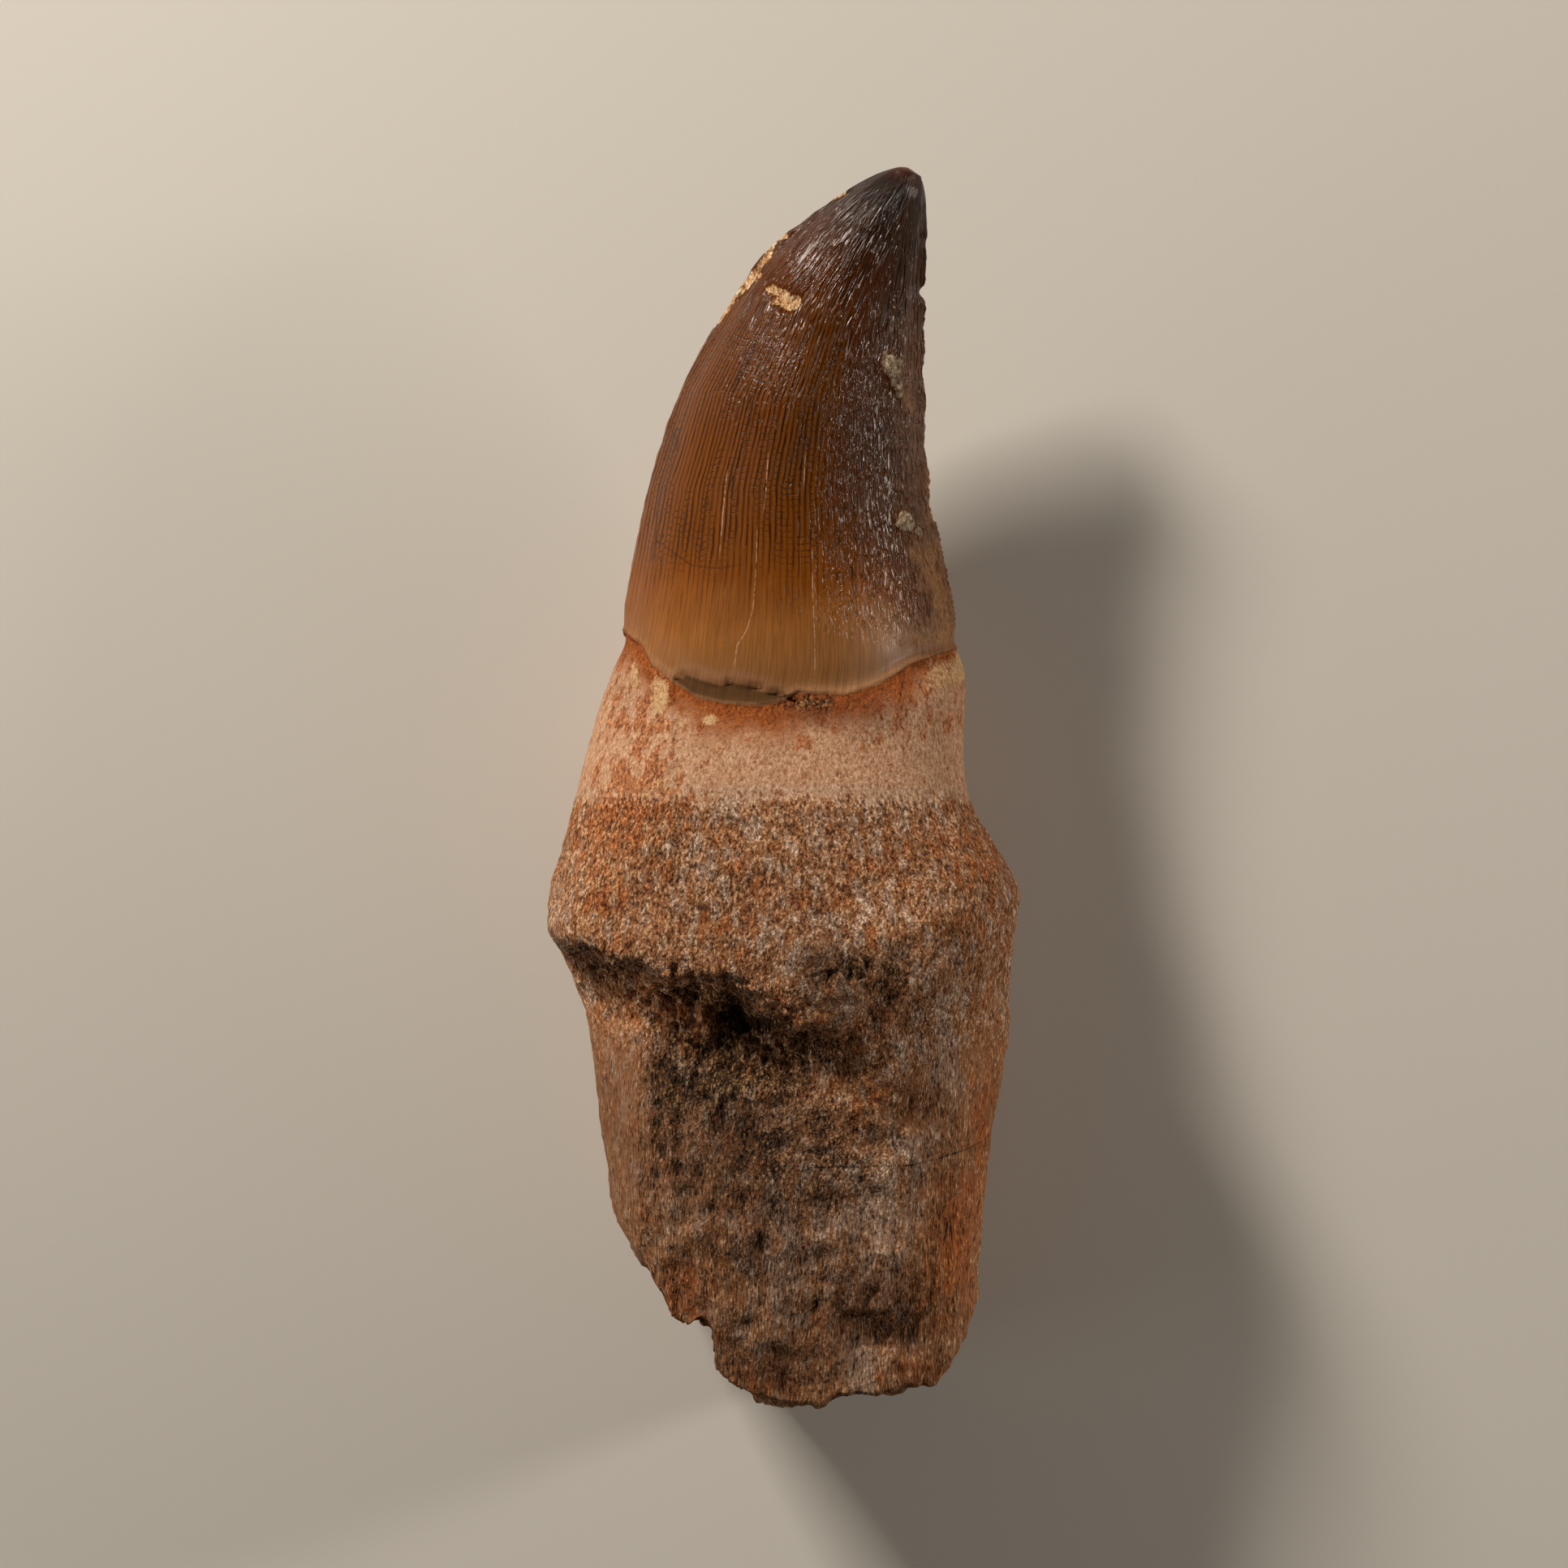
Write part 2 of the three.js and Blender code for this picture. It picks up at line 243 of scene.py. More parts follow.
# %% The crown's chords
# Pairs of points on the left and right cutting edges, from the neck to the tip, in millimetres.
CHORDS = np.array([
    [(-19.5, 3), (17.7, 2.4)],
    [(-17.1, 11.2), (17.9, 11.2)],
    [(-16, 16.4), (17.1, 16)],
    [(-13.5, 29.2), (14.7, 28.2)],
    [(-10.3, 38.8), (14, 35.6)],
    [(-4.7, 48.4), (13.8, 42.8)],
    [(1.3, 54.8), (13.8, 49)],
    [(5.7, 58), (13.9, 54.2)],
    [(9.3, 59.9), (13.9, 57.7)],
    [(11.5, 60.9), (13.2, 60.2)],
])


def chord_at(place):
    """The left and right ends of the chord at each place, where 0 is the first chord and 1 the last."""
    at = np.clip(place, 0, 1) * (len(CHORDS) - 1)
    first = np.minimum(at.astype(int), len(CHORDS) - 2)
    share = (at - first)[:, None, None]
    ends = CHORDS[first] * (1 - share) + CHORDS[first + 1] * share
    return ends[:, 0], ends[:, 1]


def above_chord(points, place):
    left, right = chord_at(place)
    run = right - left
    step = points[:, :2] - left
    return run[:, 0] * step[:, 1] - run[:, 1] * step[:, 0]


def chord_lengths():
    """The length along the crown's middle at each chord, in millimetres."""
    steps = np.linalg.norm(np.diff(CHORDS.mean(1), axis=0), axis=1)
    return np.concatenate([[0], np.cumsum(steps)])


print("the crown is", chord_lengths()[-1].round(1), "mm long along its middle")

# %% The crown unbent into a cylinder
CYLINDER_RADIUS = 16.5
HALVINGS = 14  # of the crown's length, while searching for the chord that a point lies on


def unbend(points, front):
    """Each point's place on the straight cylinder: two across, and the length along it in millimetres."""
    low = np.zeros(len(points))
    high = np.ones(len(points))
    for _ in range(HALVINGS):
        middle = (low + high) / 2
        above = above_chord(points, middle) > 0
        low = np.where(above, middle, low)
        high = np.where(above, high, middle)
    left, right = chord_at(low)
    run = right - left
    across = ((points[:, :2] - left) * run).sum(1) / (run * run).sum(1)
    cosine = np.clip(2 * across - 1, -1, 1)
    sine = np.sqrt(1 - cosine**2) * np.where(front > 0, 1, -1)
    length = np.interp(low, np.linspace(0, 1, len(CHORDS)), chord_lengths())
    return np.column_stack([cosine * CYLINDER_RADIUS, sine * CYLINDER_RADIUS, length])


highest = skin_places[[skin_places[:, 1].argmax()]]
print("the crown's highest point, unbent:", unbend(highest, np.ones(1))[0].round(1))

# %% [markdown]
# ## Refining where the detail is small
#
# The right cutting edge, the enamel's edge and the crumbling hollow under the lip carry details well under
# a millimetre. Only the faces there are split again, so the rest of the mesh stays light. The solid closes
# its broken end with a fan of long triangles, and their long edges are split until all are about as short.

# %% Split the faces that carry small detail
EDGE_REFINE = (-1.3, 0.9)  # this band along the enamel's edge, in millimetres
KEEL_REFINE = 0.955  # the cutting edges, as a share of the half width
BREAK_EDGE = 0.7 * MM  # the longest edge left on the broken face
BROKEN_SLOPE = -0.5  # a face belongs to the break where it looks down the tooth more than this
CRUMBLING = [  # (x, y, radius across, radius along, strength)
    (-18.5, -17.6, 4, 2.2, 1), (-12, -20.4, 6, 3.2, 1), (-4.5, -23.6, 5.5, 4.2, 1),
    (1.5, -25, 4.5, 2.6, 0.9), (7, -18.2, 5.5, 3, 0.9), (-8, -30, 6, 4, 0.4), (2, -33, 7, 5, 0.4),
]


def needs_detail(points, normals):
    """True for the vertices round which the faces are split again."""
    front = normals[:, 2]
    over = height_over_edge(points, front)
    straight = unbend(points, front)
    on_edge = (over > EDGE_REFINE[0]) & (over < EDGE_REFINE[1]) & (front > -0.2)
    on_keel = (straight[:, 0] > KEEL_REFINE * CYLINDER_RADIUS) & (over > 0)
    crumbles = (spots(points, CRUMBLING) > 0.45) & (front > 0.1)
    return on_edge | on_keel | crumbles


def split_long_edges(skin, longest, rounds):
    """Halves the long edges of the broken face, which looks down the tooth."""
    for _ in range(rounds):
        broken = {e for f in skin.faces if f.normal.y < BROKEN_SLOPE for e in f.edges}
        facing = [e for e in broken if all(f.normal.y < 0 for f in e.link_faces)]
        edges = [e for e in facing if e.calc_length() > longest]
        bmesh.ops.subdivide_edges(skin, edges=edges, cuts=1)
        bmesh.ops.triangulate(skin, faces=[f for f in skin.faces if f.normal.y < BROKEN_SLOPE])


def refine(mesh):
    wanted = needs_detail(read_points(mesh, "co"), read_points(mesh, "normal"))
    skin = bmesh.new()
    skin.from_mesh(mesh)
    skin.verts.ensure_lookup_table()
    edges = [e for e in skin.edges if wanted[e.verts[0].index] and wanted[e.verts[1].index]]
    bmesh.ops.subdivide_edges(skin, edges=edges, cuts=1, smooth=1, use_grid_fill=True)
    split_long_edges(skin, BREAK_EDGE, rounds=3)
    bmesh.ops.triangulate(skin, faces=[f for f in skin.faces if len(f.verts) > 4])
    skin.to_mesh(mesh)
    skin.free()


refine(tooth_mesh)
print("refined mesh, triangles:", sum(len(face.vertices) - 2 for face in tooth_mesh.polygons))

# %% [markdown]
# ## The broken end
#
# The root snapped, and the photograph shows the break edge-on as a ragged outline with one clear step. The
# fine skin's lower rim is moved column by column on to that outline. Then the broken face gets splinters.

# %% Fit the rim of the break
BREAK_LINE = [
    (-17.3, -41), (-16.6, -42.8), (-15.7, -44.3), (-14.5, -46), (-13.3, -47.5), (-12.3, -49.9),
    (-10.9, -52), (-9.7, -52.9), (-7.3, -53.4), (-6.85, -54.6), (-6.75, -57.3), (-4.9, -58.4),
    (-2.5, -59.8), (-0.1, -60.4), (3.5, -60.2), (4.7, -59.7), (10.7, -59.1), (14.3, -58.4), (15.5, -57.7),
    (16.7, -56.1), (17.9, -54.4), (18.5, -52.4),
]
COLUMN = 0.45  # the width of the columns in which the rim is measured, in millimetres
RIM_REACH = 7
RIM_DEPTH = (14, 24)  # the fit fades out from the front towards the back between these heights


def lowest_by_column(points):
    """The middle of each column across the tooth and its lowest point, on the front half."""
    inside = (points[:, 2] > RIM_DEPTH[0]) & (points[:, 1] < -38)
    columns = np.floor(points[inside, 0] / COLUMN).astype(int)
    found = sorted(set(columns.tolist()))
    return [((c + 0.5) * COLUMN, points[inside, 1][columns == c].min()) for c in found]


def fit_break(points):
    rim = lowest_by_column(points)
    x, y, z = points.T
    made = along(rim, x)
    move = np.clip(along(BREAK_LINE, x) - made, -2.5, 2.5)
    inside = (x > BREAK_LINE[0][0]) & (x < BREAK_LINE[-1][0])
    share = smooth(y, made + RIM_REACH, made + 0.5) * smooth(z, *RIM_DEPTH) * inside
    return points + np.outer(move * share, (0, 1, 0))


def splinters(points, normals):
    """Raggedness of the broken face, which looks down the tooth, in millimetres."""
    broken = smooth(-normals[:, 1], 0.35, 0.8) * smooth(points[:, 1], -39, -43)
    lumps = 0.9 * rough(points, 4, seed=3) + 0.45 * rough(points, 1.5, seed=4)
    fibres = 0.35 * rough(points, 0.8, seed=5)
    return broken * (1 - 0.5 * smooth(points[:, 2], 24, 30)) * (lumps + fibres)


print("the lowest splinter ends at, in mm:", min(height for _, height in BREAK_LINE))

# %% [markdown]
# ## Pits, fibres and lumps of the root
#
# Bone is full of pores. They are round and close together on the swelling, and drawn out lengthwise lower
# down, where the root is built of fibres. Each kind is a layer of noise with its own size in millimetres,
# and each is only as strong as the photograph shows it at that place.

# %% Relief of the bone
SAND_FOOT_Y = -1.2  # the lower edge of the sandy band


def bone_relief(points, normals):
    y = points[:, 1]
    bone = smooth(y, SAND_FOOT_Y + 1, SAND_FOOT_Y - 1.5)
    low = smooth(y, -22, -36)
    front = smooth(normals[:, 2], -0.05, 0.35)
    coarse = low * smooth(np.abs(points[:, 0] - 0.5), 15, 9) * (1 - 0.65 * smooth(y, -43, -50))
    lumps = (0.36 + 0.2 * coarse) * rough(points, 5.5, octaves=3, seed=1)
    lumps += (0.12 + 0.4 * coarse) * rough(points, 2.4, 1.3, octaves=3, seed=21)
    grain = (0.16 + 0.08 * coarse) * rough(points, 1.1, 1.5, octaves=2, seed=2)
    fibres = 0.3 * low * rough(points, 1.3, 12, octaves=2, seed=6)
    fibres += 0.22 * smooth(y, -34, -44) * rough(points, 1, 10, octaves=2, seed=18)
    pores = -0.2 * (1 - 0.5 * low) * pits(points, 1.7, 1.3, seed=7)
    slots = -0.22 * low * pits(points, 1.5, 3.5, seed=8)
    worn = 1 - 0.4 * smooth(points[:, 0], -13.5, -15.5) * smooth(y, -20, -24)
    return bone * worn * (lumps + grain + fibres + pores + slots) + bone_marks(points, front, y)


# %% The bone's own hollows and lumps
HOLLOW_SPOTS = [
    (-4.9, -21.8, 1, 1.4, 0.6), (-1.2, -23.6, 1.9, 0.9, 0.6), (-10, -20.6, 2.2, 0.8, 0.6),
    (-15.2, -18.2, 2.6, 0.8, 0.5), (-19.6, -16.9, 1.8, 0.8, 0.4), (-12.7, -22.6, 2, 1, 0.4),
    (-7.6, -26, 1.6, 0.8, 0.4), (8.7, -53.6, 2.2, 1.4, 0.25), (10.9, -17.4, 2.2, 2.6, 0.2),
]
LUMP_SPOTS = [
    (2.6, -16, 2.6, 1.6, 0.5), (5.2, -19.6, 2.2, 1.8, 0.5), (0.6, -19.8, 1.7, 1.3, 0.35),
    (-7, -23.5, 1.2, 1, 0.5), (-16.5, -19.9, 1.7, 0.6, 0.45), (-21.6, -13.8, 1.5, 1.6, 0.3),
    (6, -29.5, 3, 1.6, 0.3), (-1.5, -30.5, 2.4, 1.4, 0.3), (10.5, -25.5, 2.4, 2, 0.25),
]
PIT_LINE = [
    (-12.5, -27.6), (-12.6, -29.4), (-12.4, -31), (-10.4, -32.6), (-12.3, -33.2), (-10.1, -35),
    (-12.2, -35.6), (-10.2, -37.4), (-10, -39.6),
]
SMALL_LEDGE = [(4.6, -51.6), (8, -51), (13.2, -51.3)]
VALLEY = [  # the groove round the lower right of the lumps on the swelling
    (1.5, -25, 6.2, -24.8, 1.5), (6.2, -24.8, 9, -22.2, 1.6), (9, -22.2, 11.2, -19.4, 1.5),
    (11.2, -19.4, 12.4, -17.8, 1.4),
]


def bone_marks(points, front, y):
    """The hollows, lumps and small ledge that the photograph shows at their own places."""
    crumbly = np.clip(spots(points, CRUMBLING), 0, 1)
    crumbly *= 0.62 * rough(points, 1.3, octaves=4, seed=9) - 0.5 * pits(points, 1.5, seed=10)
    valley = -0.75 * smooth(capsules(points, VALLEY), 0, 1) * smooth(y, -17.5, -22.5)
    pit_line = spots(points, [(x, py, 0.55, 0.75, -0.55) for x, py in PIT_LINE])
    below = along(SMALL_LEDGE, points[:, 0]) - y
    within = smooth(points[:, 0], 4.6, 5.8) * smooth(points[:, 0], 13.6, 12.8)
    ledge = -0.35 * within * smooth(below, -0.05, 0.5) * smooth(below, 4.2, 1.6)
    own = spots(points, LUMP_SPOTS) - spots(points, HOLLOW_SPOTS)
    return front * (crumbly + valley + pit_line + ledge + own)


print("hollows, lumps and pits placed:", len(HOLLOW_SPOTS), len(LUMP_SPOTS), len(PIT_LINE))

# %% [markdown]
# ## The enamel's edge, chips and crumbs
#
# The enamel is half a millimetre thick and ends in a step. A lens-shaped sliver of it has slipped below the
# main edge. Along the left cutting edge the enamel has sprung off in a strip, and a ragged patch beside it
# is bare too. Sediment is still stuck to the right side. Each mark is a short thick line, and the same
# lines serve the carving and the colours.

# %% Marks on the crown
SPALLS = [
    (-6.5, 45.6, -4.8, 48.2, 0.5), (-4.6, 48.4, -2.8, 50, 0.65), (-2.4, 50.7, -1.6, 51.8, 0.34),
    (-1.6, 51.8, -1, 53.3, 0.34), (-0.9, 53.6, 0.3, 53.8, 0.34), (-1.2, 48.3, -0.2, 47.8, 0.62),
    (-0.2, 47.5, 1.1, 47.1, 0.62), (-0.6, 47.2, 0.6, 46.6, 0.5), (4, 57.1, 5.9, 57.9, 0.26),
    (14.5, 29.3, 15, 26.1, 0.35),
]
CRUMBS = [
    (10.3, 41.3, 10.7, 40.4, 1), (10.8, 40, 11, 39.5, 0.75), (11.2, 38.9, 11.3, 38.1, 0.45),
    (11.5, 25.9, 12, 25.6, 0.95), (12.2, 25.2, 12.5, 25.1, 0.65), (13.2, 24.9, 13.4, 24.3, 0.35),
]
CRUSTS = [
    (13.2, 22.3, 13.5, 20.8, 1.3), (14, 24, 15.4, 17, 2.1), (12.4, 13.6, 16.2, 15, 1.6),
    (12, 38, 12.4, 36.8, 1.1), (14.2, 31, 14.6, 26, 0.9),
]
print("spalls, crumbs and crusts placed:", len(SPALLS), len(CRUMBS), len(CRUSTS))

# %% Relief of the crown
SLIVER_TOP = [
    (-10.8, 10.2), (-10.4, 10.7), (-8.7, 10.6), (-6.4, 9.8), (-4.5, 10), (-2.4, 9.4), (-0.1, 8.7),
    (1.2, 8.3),
]
ENAMEL_STEP = 0.5


def under_sliver_top(points, front):
    """How far a point is under the sliver's top edge, and whether it is between the sliver's ends."""
    x = points[:, 0]
    inside = (x > SLIVER_TOP[0][0]) & (x < SLIVER_TOP[-1][0]) & (front > 0)
    return along(SLIVER_TOP, x) - points[:, 1], inside


def sliver_share(points, front):
    """1 on the slipped sliver of enamel."""
    under, inside = under_sliver_top(points, front)
    return inside * smooth(under, 0, 0.25)


def enamel_relief(points, normals, over):
    """The step at the enamel's edge. The solid has a soft step there, which is taken out first."""
    front = normals[:, 2]
    ragged = over + 0.25 * rough(points, 1.6, seed=11) + 0.12 * rough(points, 0.6, seed=12)
    solid_step = 0.45 * smooth(over, 0.9, -0.3) * smooth(over, -6, -1)
    neck = smooth(over, -4.5, -0.4)
    thick = 1 - 0.5 * smooth(points[:, 0], 0, 6)
    own_step = -ENAMEL_STEP * thick * neck * smooth(ragged, 0.25, -0.15)
    crack, _ = under_sliver_top(points, front)
    on_sliver = sliver_share(points, front)
    groove = -0.4 * (on_sliver > 0) * smooth(np.abs(crack - 0.12), 0.28, 0.05)
    return solid_step + own_step - 0.25 * on_sliver + groove


def ragged_marks(points):
    """How far inside a spall, a crumb and a crust each point is, with ragged borders."""
    ragged = 0.55 * rough(points, 0.8, octaves=2, seed=13)
    return [capsules(points, places) + ragged for places in (SPALLS, CRUMBS, CRUSTS)]


def crown_marks(points, normals, over):
    """Sinks the spalls and raises the crumbs and crusts, in millimetres."""
    spall, crumb, crust = ragged_marks(points)
    grain = rough(points, 0.7, octaves=2, seed=14)
    sunk = -(0.36 + 0.26 * grain) * smooth(spall, 0.02, 0.22)
    raised = (0.38 + 0.4 * grain) * smooth(crumb, 0, 0.6) + (0.04 + 0.1 * grain) * smooth(crust, 0.1, 0.7)
    return smooth(over, 0, 1) * smooth(normals[:, 2], -0.35, -0.1) * (sunk + raised)


# %% [markdown]
# ## The cutting edges
#
# The cutting edges were finely serrated. The left one is worn smooth, and clear beads are left only low on
# the right one. They are a wave along the unbent crown, strongest where a point lies right on the edge.
# Higher up the right edge is only uneven, and a few nicks break its line.

# %% Serrate and nick the cutting edges
BEAD_SPACING = 0.62
BEAD_HEIGHT = 0.08
BEAD_ROW = (15.5, 25.5)  # the height of the lowest and highest clear bead
NOTCHES = [  # (x, y, half height, depth)
    (13.8, 48.3, 0.55, 0.45), (13.7, 40.5, 0.8, 0.3), (13.9, 33.2, 0.9, 0.2), (14.6, 27.6, 0.8, 0.25),
]


def serrations(points, straight, over):
    """Beads and wear along both cutting edges, in millimetres."""
    on_edge = smooth(np.abs(straight[:, 0]) / CYLINDER_RADIUS, 0.965, 0.998) * smooth(over, 0.5, 3)
    on_edge *= smooth(straight[:, 2], 57, 53)
    waver = 1.6 * rough(points, 2, seed=15)
    beads = np.sin(2 * pi * straight[:, 2] / BEAD_SPACING + waver)
    right = straight[:, 0] > 0
    low, high = BEAD_ROW
    in_row = smooth(points[:, 1], low - 1, low + 1) * smooth(points[:, 1], high + 4, high)
    strength = np.where(right, 0.25 + 0.75 * in_row, 0)
    worn = rough(points, 1.4, octaves=2, seed=16) * np.where(right, 0.26 - 0.16 * in_row, 0.1)
    return on_edge * (BEAD_HEIGHT * strength * beads + worn)


def nick(points):
    """Moves the right cutting edge in at its nicks."""
    move = np.zeros(len(points))
    for x, y, tall, deep in NOTCHES:
        apart = np.hypot((points[:, 0] - x) / 1.1, (points[:, 1] - y) / tall)
        move += deep * np.exp(-(apart**2))
    return points - np.outer(move, (1, 0, 0))


print("clear beads:", round((BEAD_ROW[1] - BEAD_ROW[0]) / BEAD_SPACING), "and nicks:", len(NOTCHES))

# %% [markdown]
# ## Carving the skin
#
# All the layers are added up as one height for each vertex and pushed out along the surface's own
# direction. The worn back stays flat at zero, because the tooth rests on it.

# %% Carve
def carve(mesh):
    points = fit_break(read_points(mesh, "co"))
    write_points(mesh, points)
    normals = read_points(mesh, "normal")
    over = height_over_edge(points, normals[:, 2])
    straight = unbend(points, normals[:, 2])
    rise = bone_relief(points, normals) + splinters(points, normals)
    # How low the bone's relief lies, kept for the material, which darkens the low places with it as painted
    # shade.
    store(mesh, "low_ground_shade", np.clip(-rise / 0.5, -1, 2))
    rise += enamel_relief(points, normals, over) + crown_marks(points, normals, over)
    rise += serrations(points, straight, over)
    points = nick(points + normals * rise[:, None])
    points[:, 2] = np.maximum(points[:, 2], 0)
    write_points(mesh, points)
    return rise


carved = carve(tooth_mesh)
print("carved by, lowest and highest in mm:", carved.min().round(2), carved.max().round(2))

# %% [markdown]
# ## Fields for the finishes
#
# The finishes blend into each other, so one material carries them all and reads where it is from the skin.
# A thin crack would be lost between two vertices. Its signed distance isn't, because a straight slope
# between two vertices crosses zero exactly on the crack. The material then draws it as thin as it likes.

# %% Cracks as signed distances
PALE_CRACKS = [
    [(-5.5, 30.9), (-5.9, 27), (-6.3, 22)],
    [(-1.5, 32.6), (-1.8, 28), (-2.1, 25.6)],
    [(2.1, 32.6), (1.9, 28.4)],
    [(-2.6, 25.2), (-2.7, 21), (-3, 17.1), (-3.6, 15), (-4.6, 13.4), (-4.9, 10.6)],
    [(2.7, 23.8), (2.8, 18.2), (3, 13.8), (3, 9.2)],
]
DARK_CRACKS = [
    [(-1.8, -37), (5.4, -37.1), (12.2, -37), (15.7, -36.2), (18.1, -35.5), (20.2, -34.6)],
    [(13.6, -50.6), (13.7, -55.6)],
    [(8.4, 45.5), (10.2, 45.3), (11.6, 46.6), (13, 47.3)],
    [(11.9, 11.4), (11.4, 9), (11.1, 7.2)],
    [(-13.4, 24.6), (-11.2, 22.9), (-9, 21.3), (-6.2, 21), (-3.4, 21.5)],
    [(6.2, 34.2), (9.6, 33.7), (13.6, 33.9)],
    [(6.8, 33), (9.8, 32.6), (13.4, 32.9)],
    [(7.4, 35.3), (10, 35), (12.6, 35.2)],
]
CRACK_REACH = 1.2  # in millimetres, how far the fields spread from a crack


def crack_field(points, front, cracks):
    """For each point the signed distance to the nearest crack, and how strong the crack is there."""
    distance = np.full(len(points), CRACK_REACH)
    strength = np.zeros(len(points))
    for line in cracks:
        for (x0, y0), (x1, y1) in zip(line, line[1:]):
            run = np.array([x1 - x0, y1 - y0])
            length = np.linalg.norm(run)
            step = points[:, :2] - (x0, y0)
            share = step @ run / length**2
            side = (run[0] * step[:, 1] - run[1] * step[:, 0]) / length
            beside = (share > -0.05) & (share < 1.05) & (front > 0)
            inside = beside & (np.abs(side) < np.abs(distance))
            distance = np.where(inside, side, distance)
            tips = np.array([line[0], line[-1]])
            to_tip = np.linalg.norm(points[:, None, :2] - tips[None], axis=2).min(1)
            strength = np.where(inside, smooth(to_tip, 0, 1.5), strength)
    return np.column_stack([distance, strength, np.zeros(len(points))])


print("pale and dark cracks:", len(PALE_CRACKS), len(DARK_CRACKS))

# %% Stains
DARK_STAINS = [
    (-4.9, -22.3, 2, 2.2, 0.9), (-1, -23.2, 3, 1.2, 0.7), (-9.5, -20.4, 4.5, 1.4, 0.6),
    (-15.6, -18.2, 4, 1.2, 0.6), (-20.3, -16.2, 2, 1, 0.8), (-9.5, -29.5, 6, 2.6, 0.22),
    (-8, -26, 6.5, 3.6, 0.48), (-2.5, -28, 5.5, 3, 0.46), (3.2, -25.6, 3, 1.4, 0.5), (3, -30, 6, 4, 0.42),
    (-11.8, -33, 1.8, 6, 0.42), (-6, -33, 6, 7, 0.42), (2.5, -37.5, 8, 5, 0.4), (5, -17.6, 3.6, 2.4, 0.6),
    (9, -18.4, 3.2, 3.2, 0.45), (9, -53.2, 3, 2, 0.3), (2.7, 7.9, 3.3, 1, 0.95), (-4, -44, 9, 8, 0.26),
    (7, -45.5, 5, 5, 0.34), (4, -55, 8, 4, 0.2), (12.5, -50, 2, 6, 0.25), (-11.5, -6.5, 3.5, 3, 0.24),
    (-4, -6, 4, 3.5, 0.14), (12, -5.5, 4, 3, 0.14),
]
ORANGE_STAINS = [
    (16.6, -43.5, 2.4, 7, 0.6), (-14.5, 4.5, 3.5, 5, 0.35), (-20, -6, 3, 5, 0.05),
    (17.8, -6.5, 3.2, 5, 0.45), (18.5, -22, 2, 7, 0.2), (-13, -3.5, 3, 2.5, 0.3), (-4, -34, 2.5, 2, 0.35),
    (-12, -51.5, 3, 2, 0.5), (9, -31, 6, 3, 0.3), (13, -57.5, 4, 1.5, 0.5), (-3, -58, 5, 1.5, 0.4),
    (-13.5, -40, 1.2, 6, 0.1), (-12.5, 0, 3.5, 2.5, 0.6), (-16.5, -2, 3, 3, 0.5), (-17, -9, 4, 5, 0.3),
    (14, -50, 2.4, 4, 0.3), (19.5, -33, 1.6, 6, 0.5), (-10, -48.5, 3.5, 3, 0.4),
]
# Painted light and shade, with some of the bone's own lighter and darker colour: the shaded side of the
# lump, the pit, the darker lower root and end, and the lip's shadowed hollow lightened.
LIGHT_SHADE_AND_TONE_SPOTS = [  # soft darker and lighter places, as shares of the brightness
    (-8.5, -34, 5.5, 8, -0.3), (0, -42, 13, 14, -0.26), (-16.5, -32, 2.6, 9, -0.18),
    (-11, -21.6, 6.5, 2.6, 1.7), (-1, -26, 5, 2, 1), (7, -26, 5, 3, 0.25), (-1, -31.5, 7, 3.4, -0.3),
    (-9.5, -28.5, 3.5, 3, -0.2), (2, -36.5, 5.5, 5, -0.14), (3.5, -17.2, 4.5, 2.8, -0.6),
    (14.7, -19, 3, 3, -0.22), (11, -13, 4.5, 2.6, 0.55), (-1, -56.5, 5.5, 3.5, -0.28),
    (-4.9, -22.4, 1.5, 1.7, -1.2), (18.5, -27, 3.5, 9, 0.2), (17, -45, 3.5, 8, 0.55),
    (10.5, -42, 3, 6, 0.4), (-14, -41, 3.5, 6, -0.03), (3, 6.8, 3.5, 1.3, -0.4), (9.2, 6.8, 3, 2, -0.32),
    (-15.3, 9, 2, 3, -0.15), (-18.3, -7, 3, 5, 0.15),
]
CREAM_STAINS = [
    (-12.2, 8.6, 1, 2.2, 0.8), (-7.2, 6.2, 0.9, 0.6, 0.8), (-14.7, 10.6, 0.35, 1.8, 1),
    (15.5, 10.8, 2.2, 2.2, 0.55), (-10, 6, 1, 0.8, 0.5), (-12, 0.2, 1.4, 1, 0.5),
    (-13.6, -1.2, 0.8, 1, 0.5), (17.4, 11.8, 0.6, 1.6, 0.8), (6.8, -57.4, 1.3, 2, 0.25),
]
GREY_STAINS = [
    (7.3, -57, 1.5, 2.6, 1), (8.5, -41, 3, 4.5, 0.5), (12, -35.5, 3, 2, 0.4), (-21.5, -11.8, 1.8, 1.8, 0.5),
    (14.5, -27, 3, 8, 0.35), (2, -44, 3.5, 6, 0.35), (11, -13, 4, 3, 0.3), (-2, -48, 3, 5, 0.3),
    (10.8, -46, 2.8, 9, 0.3), (17, -24, 1.8, 7, 0.4), (-12.5, -43, 2.6, 5, 0.3),
]

print("dark, orange, cream and grey stains:", len(DARK_STAINS), len(ORANGE_STAINS), len(CREAM_STAINS),
      len(GREY_STAINS))

# %% Fibrous and worn bone
def fibrous_share(points):
    """How far the grains are drawn out into fibres: most at the root's sides, lower left and end."""
    x, y = points[:, 0], points[:, 1]
    sides = smooth(np.abs(x - 0.5), 10, 14) * smooth(y, -22, -30) * 0.5
    lower_left = smooth(x, 0, -7) * smooth(y, -30, -40) * 0.45
    end = smooth(y, -36, -46) * 0.5
    return np.maximum(np.maximum(sides, lower_left), end) + 0.1 * smooth(y, -8, -24)


